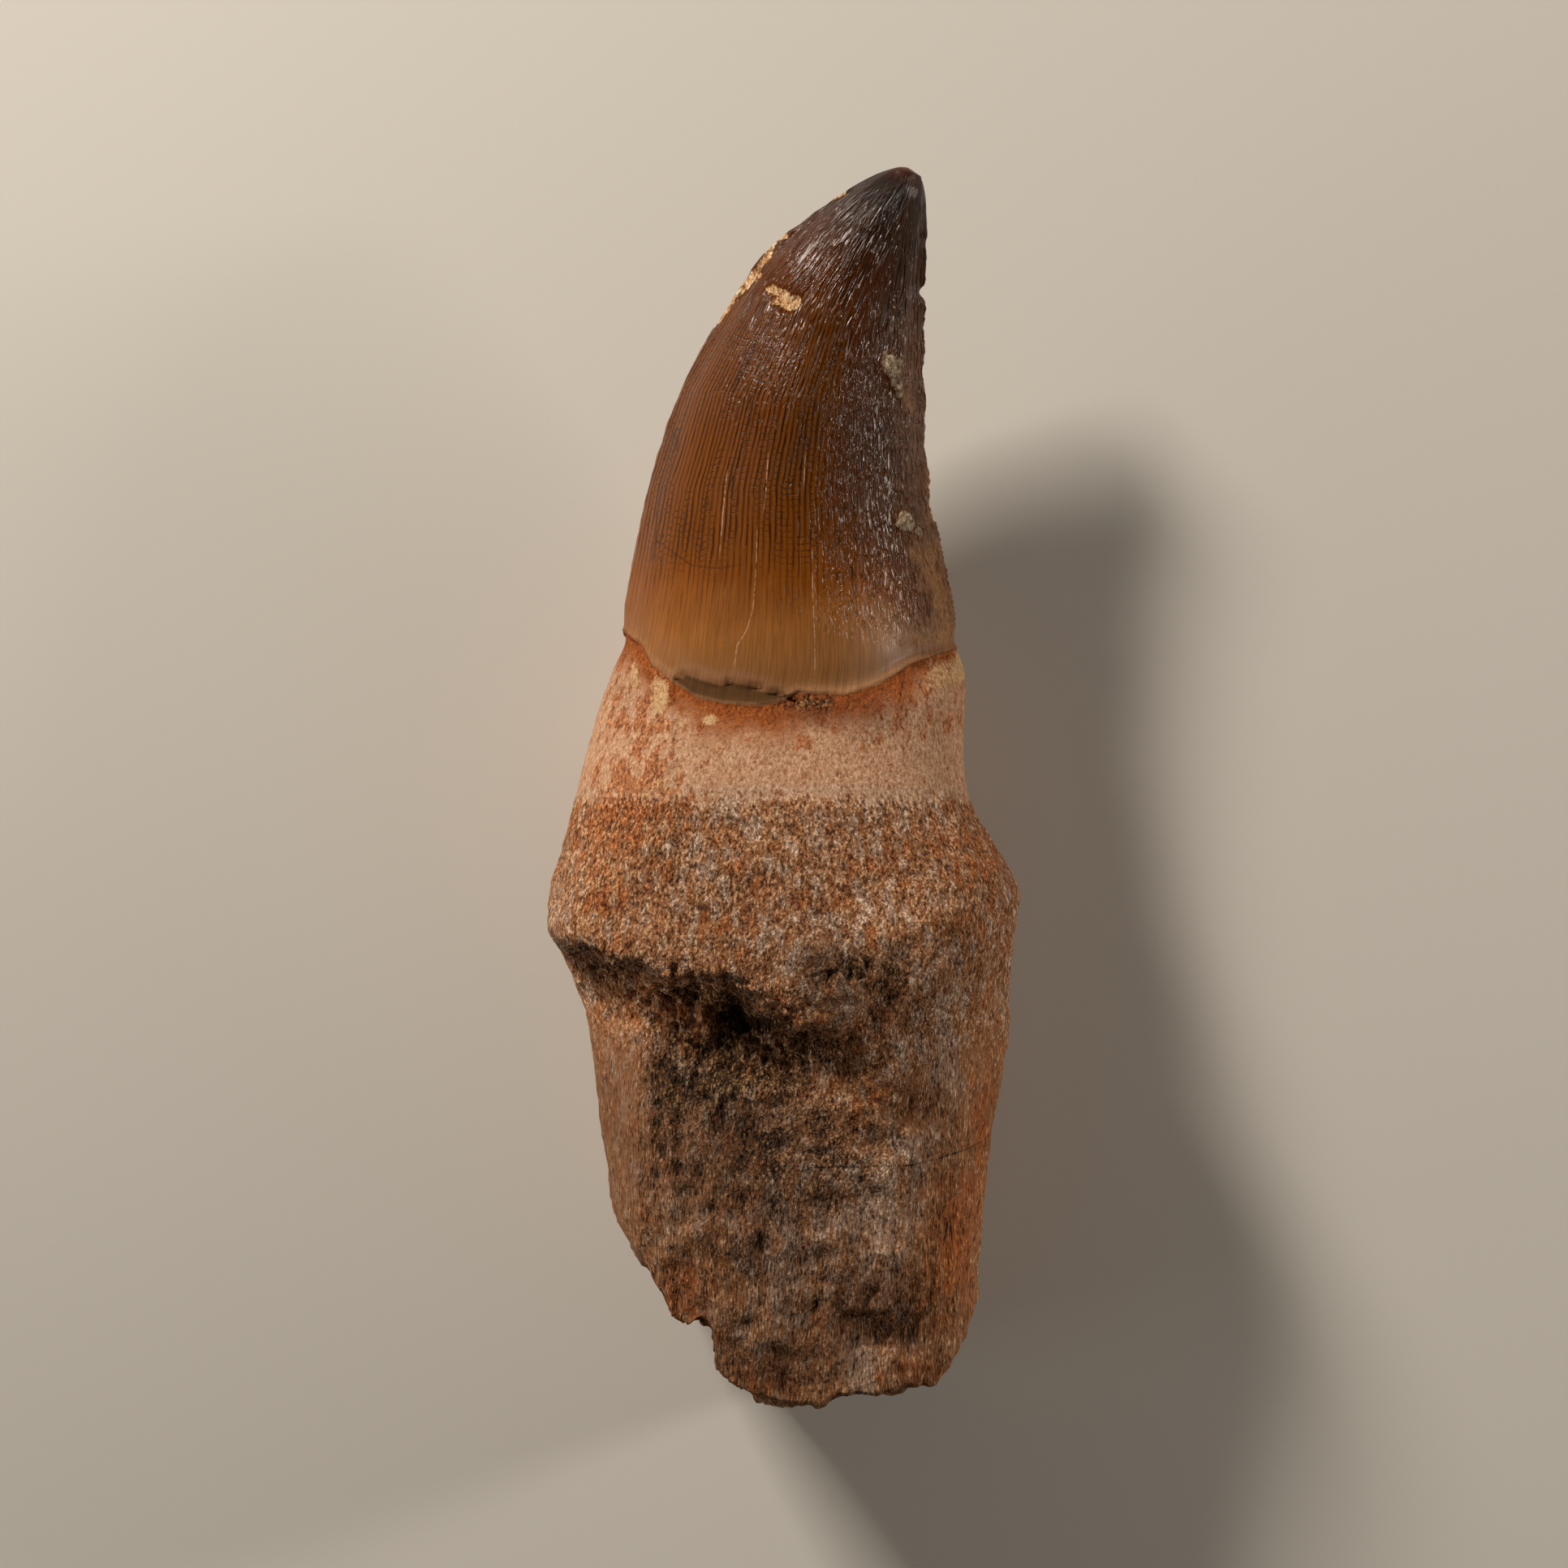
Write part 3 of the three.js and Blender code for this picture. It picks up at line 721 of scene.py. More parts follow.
def worn_share(points):
    """Where the bone is worn smooth: a strip down the left side, and less so the right side."""
    x, y = points[:, 0], points[:, 1]
    left = smooth(x, -13.2, -15.5) * smooth(y, -19, -24)
    right = 0.45 * smooth(x, 14.5, 17) * smooth(y, -16, -24)
    return np.maximum(left, right) * smooth(y, -54, -48)


print("the root's end is fibrous by", fibrous_share(np.array([[0, -55, 20]])).round(2))

# %% Fields of the crown
def edge_fields(points, front):
    """Heights over the enamel's edge. Over the rim, the sliver's top edge counts as an edge too."""
    over = height_over_edge(points, front)
    on_sliver = sliver_share(points, front)
    under, inside = under_sliver_top(points, front)
    over_rim = np.where(inside & (on_sliver < 0.5), -under, over)
    return {"over_edge": over, "over_rim": over_rim, "sliver": on_sliver}


def crown_fields(straight):
    """Where the crown is crackled and where it is wrinkled, and how near the tip a point is."""
    right = straight[:, 0] / CYLINDER_RADIUS
    length = straight[:, 2]
    at_right = smooth(right, 0.05, 0.35) * smooth(length, 10.5, 14.5)
    at_left = 0.5 * smooth(length, 28, 36) * smooth(np.abs(right + 0.35), 0.45, 0.2)
    wrinkle = np.maximum(np.maximum(smooth(length, 35, 45), at_right), at_left)
    return {
        "straight": straight,
        "crackle": smooth(length, 9.5, 23) * smooth(length, 50, 38) * smooth(right, 0.4, 0.1),
        "wrinkle": wrinkle * smooth(length, 60.2, 58.8),
        "near_tip": smooth(length, 33, 43),
    }


def mark_fields(points, on_front):
    """Spalls, crumbs and crusts, all well below 0 on the back."""
    spall, crumb, _ = ragged_marks(points)
    back = 4 * (1 - on_front)
    return {
        "spall": spall * on_front - back,
        "crumb": crumb * on_front - back,
        "crust": capsules(points, CRUSTS) * on_front - back,
    }


# %% Store the fields on the skin
def store_fields(mesh):
    """Stores every field on the skin, and gives them back by name."""
    points = read_points(mesh, "co")
    front = read_points(mesh, "normal")[:, 2]
    on_front = smooth(front, -0.3, 0)
    fields = {
        **edge_fields(points, front),
        **crown_fields(unbend(points, front)),
        **mark_fields(points, on_front),
        # Painted light and shade, as a brightness factor for the stony finishes.
        "light_shade_and_tone": 1 + spots(points, LIGHT_SHADE_AND_TONE_SPOTS) * on_front,
        "dark_stain": spots(points, DARK_STAINS) * on_front,
        "orange_stain": spots(points, ORANGE_STAINS),
        "grey_stain": spots(points, GREY_STAINS),
        "cream_stain": spots(points, CREAM_STAINS) * on_front,
        "fibrous": fibrous_share(points),
        "worn": worn_share(points),
        "crumbling": np.clip(spots(points, CRUMBLING), 0, 1) * on_front,
        "pale_crack": crack_field(points, front, PALE_CRACKS),
        "dark_crack": crack_field(points, front, DARK_CRACKS),
    }
    for name, values in fields.items():
        store(mesh, name, values)
    return fields


print("fields stored:", ", ".join(store_fields(tooth_mesh)))

# %% [markdown]
# ## A small kit for shader nodes
#
# A finish is easier to read as a sum than as a list of links. So whatever a node gives out is wrapped in a
# Value, and adding or multiplying two values places the Math node that does it. A few short methods place
# the other nodes. Sizes are in millimetres and colours are the three values of a screen everywhere.

# %% Colours and values
def linear(*srgb):
    """A colour as the shader wants it, from its three values from 0 to 255 on a screen."""
    parts = [value / 255 for value in srgb]
    return tuple(p / 12.92 if p <= 0.04045 else ((p + 0.055) / 1.055) ** 2.4 for p in parts) + (1,)


class Value:
    """What a node gives out. Sums and products of values place Math nodes."""

    def __init__(self, recipe, socket):
        self.recipe = recipe
        self.socket = socket

    def __add__(self, other):
        return self.recipe.math("ADD", self, other)

    def __sub__(self, other):
        return self.recipe.math("SUBTRACT", self, other)

    def __rsub__(self, other):
        return self.recipe.math("SUBTRACT", other, self)

    def __mul__(self, other):
        return self.recipe.math("MULTIPLY", self, other)


print("a middle grey on the screen is, for the shader:", round(linear(128, 128, 128)[0], 3))

# %% A recipe of nodes
AS_VECTOR, AS_NUMBER = 1, 2  # outputs of the Attribute node


class Recipe:
    """Adds nodes to one node tree and joins them."""

    def __init__(self, tree):
        self.tree = tree

    def feed(self, socket, value):
        if isinstance(value, Value):
            self.tree.links.new(value.socket, socket)
        else:
            socket.default_value = value

    def add(self, kind, given, **settings):
        """Adds a node, feeds its inputs by name or number and gives back its outputs."""
        node = self.tree.nodes.new("ShaderNode" + kind)
        for name, setting in settings.items():
            setattr(node, name, setting)
        for name, value in given.items():
            self.feed(node.inputs[name], value)
        return [Value(self, out) for out in node.outputs]

    def math(self, operation, *values):
        return self.add("Math", dict(enumerate(values)), operation=operation)[0]

    def step(self, value, low, high, out=(0, 1)):
        """Runs smoothly from the first out value at low to the second at high."""
        given = dict(enumerate((value, low, high, *out)))
        return self.add("MapRange", given, interpolation_type="SMOOTHSTEP")[0]

    def stretch(self, vector, size, drawn=1):
        """Scales places so that one unit is that many millimetres, and drawn out along the tooth."""
        scales = [1 / size, 1 / (size * drawn), 1 / size]
        return self.add("VectorMath", {0: vector, 1: scales}, operation="MULTIPLY")[0]

    def grain(self, vector, size, drawn=1, detail=2, bend=0, space="3D"):
        """Noise from 0 to 1 with lumps of that size."""
        place = self.stretch(vector, size, drawn)
        given = {"Vector": place, "Scale": 1, "Detail": detail, "Distortion": bend}
        return self.add("TexNoise", given, noise_dimensions=space)[0]

    def flat_grain(self, *given, **settings):
        """The same in two dimensions, which renders faster."""
        return self.grain(*given, space="2D", **settings)

    # A Mix node has sockets for every kind of data, so those in use go by their numbers.
    def between(self, share, first, second):
        """Goes from the first number to the second."""
        return self.add("Mix", {0: share, 2: first, 3: second}, data_type="FLOAT")[0]

    def blend(self, share, first, second):
        """Goes from the first colour to the second."""
        return self.add("Mix", {0: share, 6: first, 7: second}, data_type="RGBA")[2]

    def paint(self, share, colour, *srgb):
        """Lays one plain colour over another colour."""
        return self.blend(share, colour, linear(*srgb))

    def shade(self, colour, amount):
        """Multiplies a colour, or a place, by a number."""
        return self.add("VectorMath", {0: colour, "Scale": amount}, operation="SCALE")[0]

    def split(self, vector):
        """The three numbers of a vector."""
        return self.add("SeparateXYZ", {0: vector})

    def ramp(self, value, stops):
        """Reads a row of (place, colour) stops."""
        colour = self.add("ValToRGB", {0: value})[0]
        elements = colour.socket.node.color_ramp.elements
        while len(elements) < len(stops):
            elements.new(1)
        for element, (place, srgb) in zip(elements, stops):
            element.position = place
            element.color = linear(*srgb)
        return colour

    def field(self, name, vector=False):
        """Reads one of the skin's fields."""
        return self.add("Attribute", {}, attribute_name=name)[AS_VECTOR if vector else AS_NUMBER]


# %% Node groups
def make_group(name, inputs, recipe):
    """A node group of a recipe. Each input has the number it starts at, or None for a vector."""
    tree = bpy.data.node_groups.new(name, "ShaderNodeTree")
    for label, start in inputs.items():
        kind = "NodeSocketVector" if start is None else "NodeSocketFloat"
        socket = tree.interface.new_socket(label, in_out="INPUT", socket_type=kind)
        if start is not None:
            socket.default_value = start
    mix = Recipe(tree)
    given = tree.nodes.new("NodeGroupInput").outputs
    made = recipe(mix, *[Value(mix, given[label]) for label in inputs])
    for label in made:
        tree.interface.new_socket(label, in_out="OUTPUT", socket_type="NodeSocketFloat")
    result = tree.nodes.new("NodeGroupOutput").inputs
    for label, value in made.items():
        mix.feed(result[label], value)
    print("group", name, "gives:", ", ".join(made))
    return tree


def place_group(mix, tree, **values):
    """Puts a group in a tree, feeds its inputs by name and gives back its outputs by name."""
    return {out.socket.name: out for out in mix.add("Group", values, node_tree=tree)}


# %% [markdown]
# ## Grains and fibres
#
# Every stony finish here is made of grains about a quarter of a millimetre wide. Noise of several sizes
# gives them their crisp outlines. A Voronoi texture, bent by that noise, adds a brightness for each grain
# and a rounded top. Lower down the bone is built of fibres and thicker ropes along the tooth, which are
# drawn-out noise. One node group makes the fields of grains for all the finishes. A further field, of a
# millimetre or two, tints the grains from grey to orange. Slower ones serve ragged borders and patches.

# %% The grain group
GRAIN = 0.16  # the spacing of the grains in millimetres


def granular(mix, place):
    """Crisp grains, each with a brightness of its own, from 0 to 1."""
    soft = mix.grain(place, GRAIN * 2, 2, detail=4)
    spaced = mix.stretch(place, GRAIN, 1.6)
    bent = mix.add("VectorMath", {0: spaced, 1: soft}, operation="ADD")[0]
    distance, cell_colour = mix.add("TexVoronoi", {"Vector": bent, "Scale": 1})[:2]
    brightness = mix.add("SeparateColor", {0: cell_colour})[0]
    return soft * 0.95 + brightness * 0.26 + distance * -0.2 - 0.01


def grain_fields(mix, place, fibrous):
    fibres = mix.grain(place, GRAIN * 1.2, 5, detail=3.5)
    return {
        "Fine": mix.between(fibrous, granular(mix, place), fibres * 1.5 - 0.25),
        "Ropes": mix.grain(place, 0.5, 9, detail=2.5),
        "Tint": mix.grain(place, 1.1, 2.2, detail=3.5),
        "Medium": mix.grain(place, 1.5, 1.5, detail=2.5),
        "Patch": mix.grain(place, 5.5, 1.3, detail=3),
    }


grains = make_group("grains", {"Place": None, "Fibrous": 0}, grain_fields)

# %% [markdown]
# ## Fissures and wrinkles of the crown
#
# Old enamel dries into narrow columns. The gaps between them run along the crown a little over half a
# millimetre apart, and fainter gaps cross them. A ping-pong of the place round the crown gives the distance
# to the nearest gap. A slow noise makes the gaps waver, and a drawn-out one lets each of them fade out and
# come back. A few long cracks are the contour lines of a drawn-out noise. The wrinkles near the tip are
# folds of a bent noise, which are sharp where the noise passes its middle value.

# %% The fissure group
COLUMN_WIDTH = 0.64  # measured on the unbent crown, in millimetres
CROSS_SPACING = 0.62


def gap_to_line(mix, value, spacing):
    """The distance in millimetres to the nearest of a row of lines."""
    return mix.math("PINGPONG", value, 0.5) * spacing


def fissure_fields(mix, sheet, cover):
    across, length, _ = mix.split(sheet)
    waver = mix.flat_grain(sheet, 3, 4, detail=2.5)
    streaks = mix.flat_grain(sheet, 0.85, 12, detail=2)
    wobble = mix.flat_grain(sheet, 0.9, 3, detail=1.5)
    column = across * (1 / COLUMN_WIDTH) + waver * 0.9 + wobble * 0.45
    gap = gap_to_line(mix, column, COLUMN_WIDTH)
    fading = mix.step(streaks, 0.36, 0.58, (0.35, 1)) * mix.step(wobble, 0.66, 0.48, (0.3, 1))
    shift = mix.add("TexWhiteNoise", {"W": mix.math("FLOOR", column)}, noise_dimensions="1D")[0]
    row = length * (1 / CROSS_SPACING) + waver * 1.6 + wobble * 0.8 + shift * 0.6
    crossing = mix.step(gap_to_line(mix, row, CROSS_SPACING), 0.12, 0.02) * mix.step(waver, 0.36, 0.52)
    contour = mix.math("ABSOLUTE", streaks - 0.5)
    return {
        "Columns": mix.step(gap, 0.15, 0.03) * fading * cover,
        # The middles of the columns, which the material paints golden and lighter: their own colour and a
        # painted highlight on their rounded tops.
        "Golden lit middles": mix.step(gap, 0.08, 0.24) * cover,
        "Across": crossing * mix.step(wobble, 0.42, 0.56, (0.15, 0.75)) * mix.step(cover, 0.45, 0.95),
        "Cracks": mix.step(contour, 0.022, 0.006) * mix.step(waver, 0.46, 0.6),
        "Streaks": streaks,
    }


fissures = make_group("fissures", {"Sheet": None, "Cover": 1}, fissure_fields)

# %% The wrinkle group
def wrinkle_fields(mix, sheet, width):
    """0 on the ridges of worm-like wrinkles along the crown, growing towards the grooves."""
    scaled = mix.shade(sheet, mix.math("DIVIDE", 1, width))
    folds = mix.flat_grain(scaled, 1, 4, detail=1.5, bend=0.5)
    return {"Fold": mix.math("ABSOLUTE", folds * 2 - 1)}


wrinkles = make_group("wrinkles", {"Sheet": None, "Width": 0.62}, wrinkle_fields)

# %% [markdown]
# ## Stony finishes
#
# Bone, sand, bare dentine and stuck sediment share the same grains and differ in colour, so each is a row
# of three colours: that of a light grain, of most grains, and of the gaps. The material blends the rows
# first and colours the grains once, which keeps it fast to render.

# %% Colours of the stony finishes
# The gaps' dark colours are partly the grains' own colour and partly painted shade between the grains.
STONY = {  # a light grain, most grains, and the gaps between them
    "bone": ((218, 172, 132), (154, 104, 67), (82, 49, 28)),
    "orange bone": ((224, 148, 88), (166, 92, 44), (88, 40, 15)),
    "grey bone": ((220, 195, 174), (158, 127, 104), (86, 62, 47)),
    "stain_and_shade bone": ((214, 166, 110), (92, 64, 38), (10, 6, 3)),
    "sand": ((220, 182, 150), (196, 150, 115), (166, 116, 84)),
    "pale sand": ((206, 184, 162), (178, 148, 122), (128, 94, 70)),
    "dentine": ((172, 100, 46), (150, 78, 28), (116, 54, 16)),
    "cream": ((218, 184, 140), (200, 160, 114), (178, 128, 82)),
    "spall": ((236, 216, 184), (204, 160, 112), (138, 82, 44)),
    "sediment": ((198, 180, 154), (152, 132, 106), (92, 70, 48)),
    "crust": ((190, 142, 92), (152, 106, 62), (104, 68, 36)),
}


class Stone:
    """The three colours of a stony finish, with others laid over them by name."""

    def __init__(self, mix, name):
        self.mix = mix
        self.colours = [linear(*srgb) for srgb in STONY[name]]

    def lay(self, share, name):
        """Lays another finish over this one."""
        self.colours = [self.mix.paint(share, old, *srgb) for old, srgb in zip(self.colours, STONY[name])]

    def colour(self, fine):
        """The grains coloured: gaps where the grain field is low, light grains where it is high."""
        light, most, gaps = self.colours
        body = self.mix.blend(self.mix.step(fine, 0.53, 0.69), most, light)
        return self.mix.blend(self.mix.step(fine, 0.47, 0.31), body, gaps)


print("stony finishes:", ", ".join(STONY))

# %% [markdown]
# ## Enamel
#
# The enamel is a clear golden brown over the dentine. It is pale near its edge, dark towards the tip, and
# crossed by fissures. Near the tip and on the right it is drawn into fine glossy wrinkles, which catch the
# light one by one. All of it reads the crown unrolled into a flat sheet.

# %% Enamel colours
CROWN_FOOT = 9  # the length along the unbent crown at the enamel's edge
CROWN_LENGTH = 61
BACK_SHIFT = 60  # moves the front's pattern on from the back's, so that the two differ


def enamel_colours(mix, right, length, patch):
    """Colours along the crown, from the edge to the tip."""
    height = (length - CROWN_FOOT) * (1 / (CROWN_LENGTH - CROWN_FOOT))
    colour = mix.ramp(height + (patch - 0.5) * 0.16, [
        (0, (146, 98, 54)), (0.06, (152, 96, 45)), (0.15, (128, 68, 14)),
        (0.26, (104, 52, 5)), (0.45, (92, 44, 3)), (0.7, (90, 42, 4)),
        (0.84, (60, 30, 8)), (0.955, (38, 17, 6)), (1, (80, 26, 6)),
    ])
    middle = mix.step(right, -0.3, 0.05) * mix.step(height, 0.18, 0.42)
    colour = mix.shade(colour, mix.between(middle, 1, 0.62))
    dull_and_glint = mix.step(right, 0.2, 0.6) * mix.step(height, 0.06, 0.24, (-0.45, 0.5))  # below 0 it is paled
    colour = mix.paint(mix.math("MAXIMUM", dull_and_glint, 0), colour, 78, 44, 16)
    # Painted highlight: below 0, low on the right, the colour is paled towards warm white in place of the
    # wrinkles' glints.
    colour = mix.paint(mix.math("MAXIMUM", dull_and_glint * -1, 0), colour, 190, 146, 110)
    edge = mix.step(right, 0.55, 0.8) * mix.step(height, 0.85, 0.6) * 0.7
    colour = mix.paint(edge, colour, 104, 58, 16)
    sliver = mix.field("sliver")
    colour = mix.paint(sliver * 0.9, colour, 70, 43, 8)
    # The pale rim is the enamel's own edge; on the right it reaches higher as a painted highlight of the
    # glints there.
    rim_and_glint_top = mix.between(sliver, mix.step(right, 0.15, 0.55, (2.2, 6)), 0.5)
    return mix.paint(mix.step(mix.field("over_rim"), rim_and_glint_top, 0.1) * 0.5, colour, 150, 108, 76)


def crown_sheet(mix, straight):
    """The crown unrolled: millimetres across it, measured over its rounded face, and along it."""
    x, y, length = mix.split(straight)
    across = x * (1 / CYLINDER_RADIUS)
    bulge = mix.math("POWER", mix.math("ABSOLUTE", across), 3) * mix.math("SIGN", across) * 0.2
    front = mix.math("GREATER_THAN", y, 0)
    place = (across + bulge) * CYLINDER_RADIUS + front * BACK_SHIFT
    return mix.add("CombineXYZ", {0: place, 1: length})[0]


# %% Enamel finish
HAIR = 0.18  # the spacing of the finest lines along the crown, in millimetres
WRINKLE_WIDTHS = (0.42, 0.85)  # low on the crown and near its tip
CRACK_DEPTH = 0.035
CROSS_DEPTH = 0.012


def crown_relief(mix, lines, line, hairs, fold, right):
    """The crown's relief in millimetres: wrinkles, cracks and hairs."""
    deep = mix.step(right, 0.45, 0.8, (0.14, 0.24))
    height = mix.step(fold, 0, 0.55, (1, 0)) * mix.field("wrinkle") * deep
    cracked = height + line * -CRACK_DEPTH + lines["Across"] * -CROSS_DEPTH
    return cracked + lines["Streaks"] * 0.02 + hairs * 0.018


def enamel_finish(mix, straight, patch):
    """The enamel's colour, and its relief in millimetres."""
    sheet = crown_sheet(mix, straight)
    x, _, length = mix.split(straight)
    right = x * (1 / CYLINDER_RADIUS)
    crackle = mix.field("crackle")
    lines = place_group(mix, fissures, Sheet=sheet, Cover=crackle)
    colour = enamel_colours(mix, right, length, patch)
    hairs = mix.flat_grain(sheet, HAIR, 26)
    colour = mix.shade(colour, mix.step(hairs, 0.35, 0.65, (0.87, 1.14)))
    colour = mix.shade(colour, mix.step(lines["Streaks"], 0.25, 0.75, (0.95, 1.05)))
    # Golden colour and painted highlight on the middles of the columns.
    colour = mix.paint(lines["Golden lit middles"] * 0.36, colour, 150, 86, 12)
    line = mix.math("MAXIMUM", lines["Columns"], lines["Cracks"] * (crackle * 0.9 + 0.08))
    colour = mix.paint(mix.math("MAXIMUM", line, lines["Across"]) * 0.82, colour, 28, 11, 2)
    low, high = [place_group(mix, wrinkles, Sheet=sheet, Width=width)["Fold"] for width in WRINKLE_WIDTHS]
    fold = mix.between(mix.field("near_tip"), low, high)
    # Painted shade: the grooves between the wrinkles are darkened.
    groove_shade = mix.step(fold, 0.22, 0.55) * mix.field("wrinkle") * 0.6
    relief = crown_relief(mix, lines, line, hairs, fold, right)
    return mix.paint(groove_shade, colour, 26, 15, 8), relief


# %% [markdown]
# ## One material for the whole tooth
#
# The finishes are laid over each other from the bone up: sand, dentine, enamel, then the marks on the
# crown. Each mask is a field of the skin with a little noise added before it is cut off, so the borders are
# as ragged as the real ones.

# %% Masks of the finishes
def ragged_mask(mix, field, noise_field, amount, low, high):
    """Cuts a field off between low and high, with its border broken up by noise of that amount."""
    return mix.step(field + (noise_field - 0.5) * amount, low, high)


def crack_mask(mix, name, half_width):
    distance, strength, _ = mix.split(mix.field(name, vector=True))
    return mix.step(mix.math("ABSOLUTE", distance), half_width, half_width * 0.4) * strength


# %% Lay the stony finishes
def lay_bone(mix, stone, noises):
    """Tints the bone, and gives the tint back."""
    streaked = mix.between(mix.field("fibrous") * 1.1, noises["Tint"], noises["Ropes"])
    tint = streaked + mix.field("orange_stain") * 0.28 + mix.field("grey_stain") * -0.24
    stone.lay(mix.step(tint, 0.53, 0.69) * 0.85, "orange bone")
    stone.lay(mix.step(tint, 0.5, 0.37) * 0.9, "grey bone")
    return tint


def lay_neck(mix, stone, height, over, tint, border):
    """Lays the sand and the bare dentine on the bone, and gives the sand's mask back."""
    sand = ragged_mask(mix, height, border, 6, SAND_FOOT_Y - 1.1, SAND_FOOT_Y + 0.7)
    stone.lay(sand, "sand")
    stone.lay(mix.step(height, SAND_FOOT_Y + 1.6, SAND_FOOT_Y + 0.4) * sand * 0.5, "pale sand")
    flecks = tint + mix.step(height, 3, 7.5) * 0.07
    stone.lay(mix.step(flecks, 0.58, 0.68) * sand * 0.75, "orange bone")
    stone.lay(ragged_mask(mix, over, border, 9, -5.2, -0.8), "dentine")
    return sand


def lay_stains(mix, stone, fine, medium):
    both = medium * 0.5 + fine * 0.5
    # The bone's own dark stains, with painted shade added where its relief lies low.
    stain_and_shade = mix.field("dark_stain") + mix.field("low_ground_shade") * 0.22
    stone.lay(ragged_mask(mix, stain_and_shade, both, -2.2, 0.3, 1.1) * 0.94, "stain_and_shade bone")
    stone.lay(ragged_mask(mix, mix.field("cream_stain"), both, 1, 0.25, 0.65), "cream")


# %% The stony finishes together
def stony_relief(mix, height, sand, grains_shown, noises):
    """The grains and ropes of the stony finishes in millimetres, shallow in the sand."""
    bone = mix.field("crumbling") * 0.24 + mix.step(height, -8, -22, (0.28, 0.44))
    deep = mix.between(sand, bone, 0.18)
    ropes = noises["Ropes"] * (mix.field("fibrous") * 0.32)
    return grains_shown * deep + noises["Medium"] * (deep * 1.2) + ropes


def stony_finish(mix, height, over, noises, bare):
    """Bone, sand, dentine, spalls and sediment: their colour and their relief in millimetres."""
    fine, medium, ropes = noises["Fine"], noises["Medium"], noises["Ropes"]
    stone = Stone(mix, "bone")
    tint = lay_bone(mix, stone, noises)
    border = noises["Patch"] * 0.4 + medium * 0.35 + fine * 0.25
    sand = lay_neck(mix, stone, height, over, tint, border)
    lay_stains(mix, stone, fine, medium)
    for mask, name in (("spall", "crust"), ("clean spall", "spall"), ("crumb", "sediment")):
        stone.lay(bare[mask], name)
    worn = mix.field("worn")
    grains_shown = mix.between(worn * 0.22, fine, 0.51)
    # Painted shade: grains in the low places of the bone's relief are darkened, outside the sand.
    ground_shade = mix.field("low_ground_shade") * mix.between(sand, -0.05, 0)
    between_ropes = (ropes - 0.5) * mix.field("fibrous") * mix.between(worn, 0.5, 0.3)
    colour = stone.colour(grains_shown + ground_shade + between_ropes)
    mottled = mix.between(sand, mix.step(tint, 0.36, 0.64, (1.15, 0.9)), 1)
    relief = stony_relief(mix, height, sand, grains_shown, noises)
    # The stony colour is multiplied by the painted light and shade spots.
    return mix.shade(colour, mix.field("light_shade_and_tone") * mottled), relief


# %% Spalls, crumbs and cracks
def bare_marks(mix, fine, medium):
    """Masks of what breaks the enamel: spalls, the clean part of them, and crumbs of sediment."""
    ragged = medium * 0.5 + fine * 0.5
    return {
        "spall": ragged_mask(mix, mix.field("spall"), ragged, 0.9, -0.04, 0.1),
        "clean spall": ragged_mask(mix, mix.field("spall"), ragged, 2.2, 0.12, 0.34),
        "crumb": ragged_mask(mix, mix.field("crumb"), medium, 0.8, 0, 0.2),
    }


def draw_cracks(mix, colour, enamel, fine, medium):
    """The long cracks: pale ones in the enamel, and dark ones everywhere."""
    broken_up = mix.step(fine + medium * 0.5, 0.6, 0.8)
    pale = crack_mask(mix, "pale_crack", 0.07) * enamel * (broken_up * 0.8 + 0.08)
    colour = mix.paint(pale, colour, 200, 158, 122)
    dark = crack_mask(mix, "dark_crack", 0.13) * (1 - broken_up * 0.6)
    return mix.paint(dark * mix.between(enamel, 0.85, 0.55), colour, 24, 14, 8)


# %% The whole tooth's finish
OBJECT_PLACE = 3  # the output of Texture Coordinate with the object's own places
STONE_ROUGHNESS = 0.92
DULL_ROUGHNESS = 0.85  # enamel under crust, on the sliver and along the rim
GLOSS = (0.3, 0.2)  # the roughness of clear enamel and of its wrinkles
REFLECTION = 0.27


def finish_tooth():
    material = bpy.data.materials.new("fossil_tooth")
    material.use_nodes = True
    mix = Recipe(material.node_tree)
    shader = material.node_tree.nodes["Principled BSDF"].inputs
    place = mix.stretch(mix.add("TexCoord", {})[OBJECT_PLACE], MM)
    over = mix.field("over_edge")
    noises = place_group(mix, grains, Place=place, Fibrous=mix.field("fibrous"))
    fine, medium = noises["Fine"], noises["Medium"]
    bare = bare_marks(mix, fine, medium)
    stone_colour, stone_relief = stony_finish(mix, mix.split(place)[1], over, noises, bare)
    glossy, folds = enamel_finish(mix, mix.field("straight", vector=True), noises["Patch"])
    crust = ragged_mask(mix, mix.field("crust"), medium, 2.4, 0, 1.1) * 0.65
    glossy = mix.blend(crust, glossy, Stone(mix, "crust").colour(fine))
    folds = mix.between(crust, folds, fine * 0.08)
    marks = mix.math("MAXIMUM", bare["spall"], bare["crumb"])
    enamel = ragged_mask(mix, over, medium, 0.4, -0.06, 0.06) * (1 - marks)
    colour = mix.blend(enamel, stone_colour, glossy)
    mix.feed(shader["Base Color"], draw_cracks(mix, colour, enamel, fine, medium))
    at_rim = mix.step(mix.field("over_rim"), 1.5, 0.4)
    dull = mix.math("MAXIMUM", crust, mix.math("MAXIMUM", mix.field("sliver"), at_rim))
    gloss = mix.between(dull, mix.between(mix.field("wrinkle"), *GLOSS), DULL_ROUGHNESS)
    mix.feed(shader["Roughness"], mix.between(enamel, STONE_ROUGHNESS, gloss))
    relief = mix.between(enamel, stone_relief, folds)
    mix.feed(shader["Normal"], mix.add("Bump", {"Distance": MM, "Height": relief})[0])
    shader["Specular IOR Level"].default_value = REFLECTION
    return material


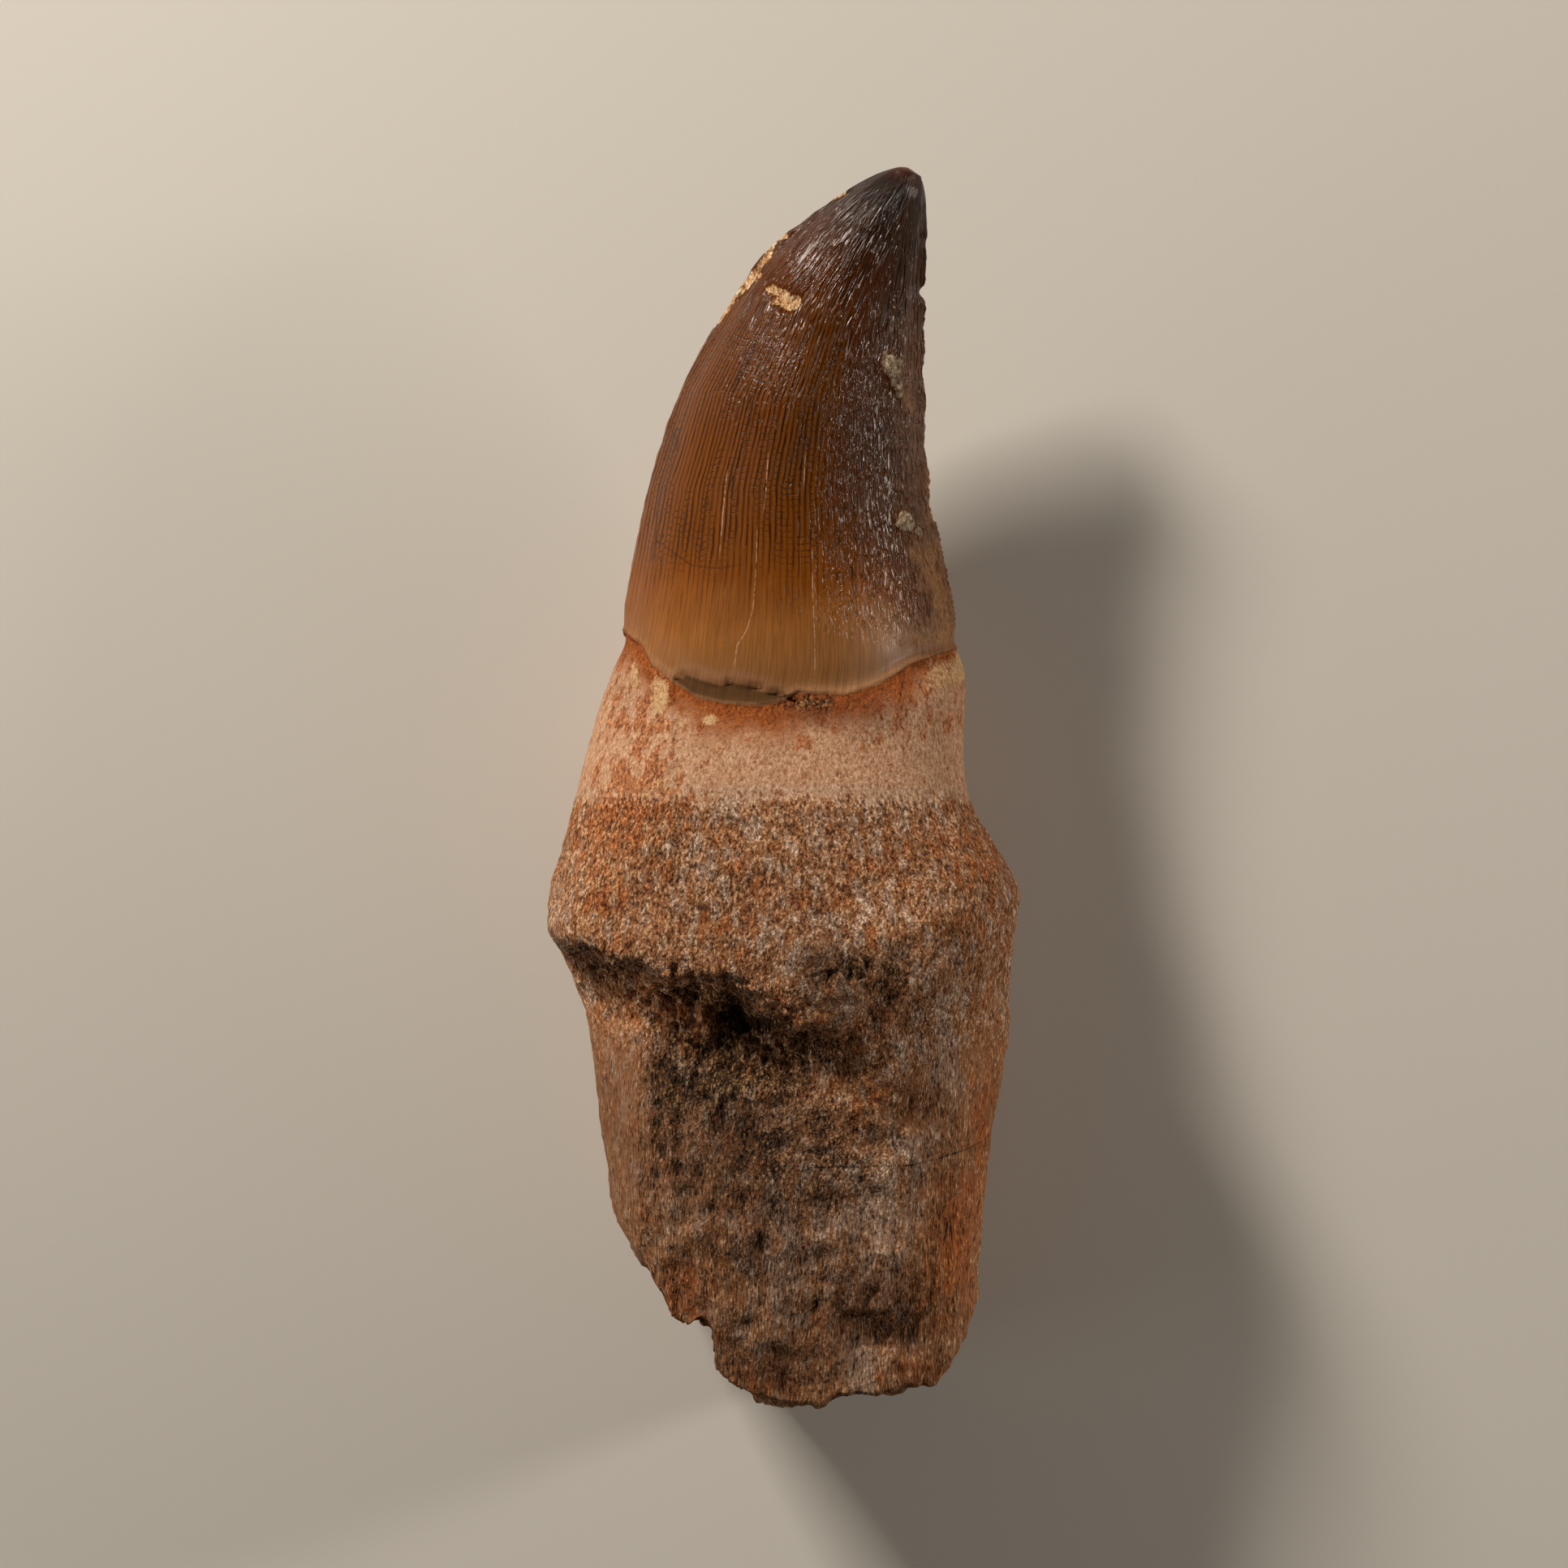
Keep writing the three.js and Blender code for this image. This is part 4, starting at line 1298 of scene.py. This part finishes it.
tooth_finish = finish_tooth()
tooth_mesh.materials.clear()
tooth_mesh.materials.append(tooth_finish)
tooth_mesh.polygons.foreach_set("use_smooth", [True] * len(tooth_mesh.polygons))
print("nodes in the tooth's material:", len(tooth_finish.node_tree.nodes))

# %% [markdown]
# ## The finished piece
#
# The carved skin stands for the solid and moves with the one body.

# %% Hand over the piece
tooth = put("tooth", tooth_mesh)
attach(tooth, "root")
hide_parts(NODE)
print(tooth.name, "is handed over in place of", NODE)

# %% [markdown]
# ## Floor and light
#
# The tooth lies on a plain pale floor. The main light comes low from beyond the tip, as the photograph's
# does, so the lip throws its shadow into the hollow. Softer lights from both sides show the root's round
# sides and the gloss of the wrinkles on the right of the crown.

# %% Floor
FLOOR_SIZE = 4
FLOOR_COLOUR = (228, 223, 214)


def make_floor():
    mesh = bpy.data.meshes.new("floor")
    sheet = bmesh.new()
    bmesh.ops.create_grid(sheet, x_segments=1, y_segments=1, size=FLOOR_SIZE / 2)
    sheet.to_mesh(mesh)
    sheet.free()
    material = bpy.data.materials.new("pale_floor")
    material.use_nodes = True
    shader = material.node_tree.nodes["Principled BSDF"].inputs
    shader["Base Color"].default_value = linear(*FLOOR_COLOUR)
    shader["Roughness"].default_value = 0.9
    mesh.materials.append(material)
    put("floor", mesh)


make_floor()
print("floor, in metres across:", FLOOR_SIZE)

# %% Lights
AIM = Vector((0, 0, 0.02))
WARM_WHITE = (1, 0.92, 0.82)
ROOM_COLOUR = (240, 230, 218)
ROOM_LIGHT = 0.05
LIGHTS = {  # place in metres, width and height in metres, power in watts
    "key": ((-0.33, 0.42, 0.32), (0.12, 0.12), 3.6),
    "right": ((0.5, 0.1, 0.17), (0.055, 0.15), 1),
    "left": ((-0.56, -0.12, 0.1), (0.24, 0.24), 0.5),
}


def hang_light(name, place, size, power):
    lamp = bpy.data.lights.new(name, "AREA")
    lamp.shape = "RECTANGLE"
    lamp.size, lamp.size_y = size
    lamp.energy = power
    lamp.color = WARM_WHITE
    light = put(name, lamp)
    light.location = place
    light.rotation_euler = (AIM - Vector(place)).to_track_quat("-Z", "Y").to_euler()


for name, (place, size, power) in LIGHTS.items():
    hang_light(name, place, size, power)

world = bpy.data.worlds.new("studio")
world.use_nodes = True
backdrop = world.node_tree.nodes["Background"].inputs
backdrop["Color"].default_value = linear(*ROOM_COLOUR)
backdrop["Strength"].default_value = ROOM_LIGHT
bpy.context.scene.world = world
print("lights:", ", ".join(LIGHTS))
bpy.context.scene.view_settings.view_transform = "Standard"
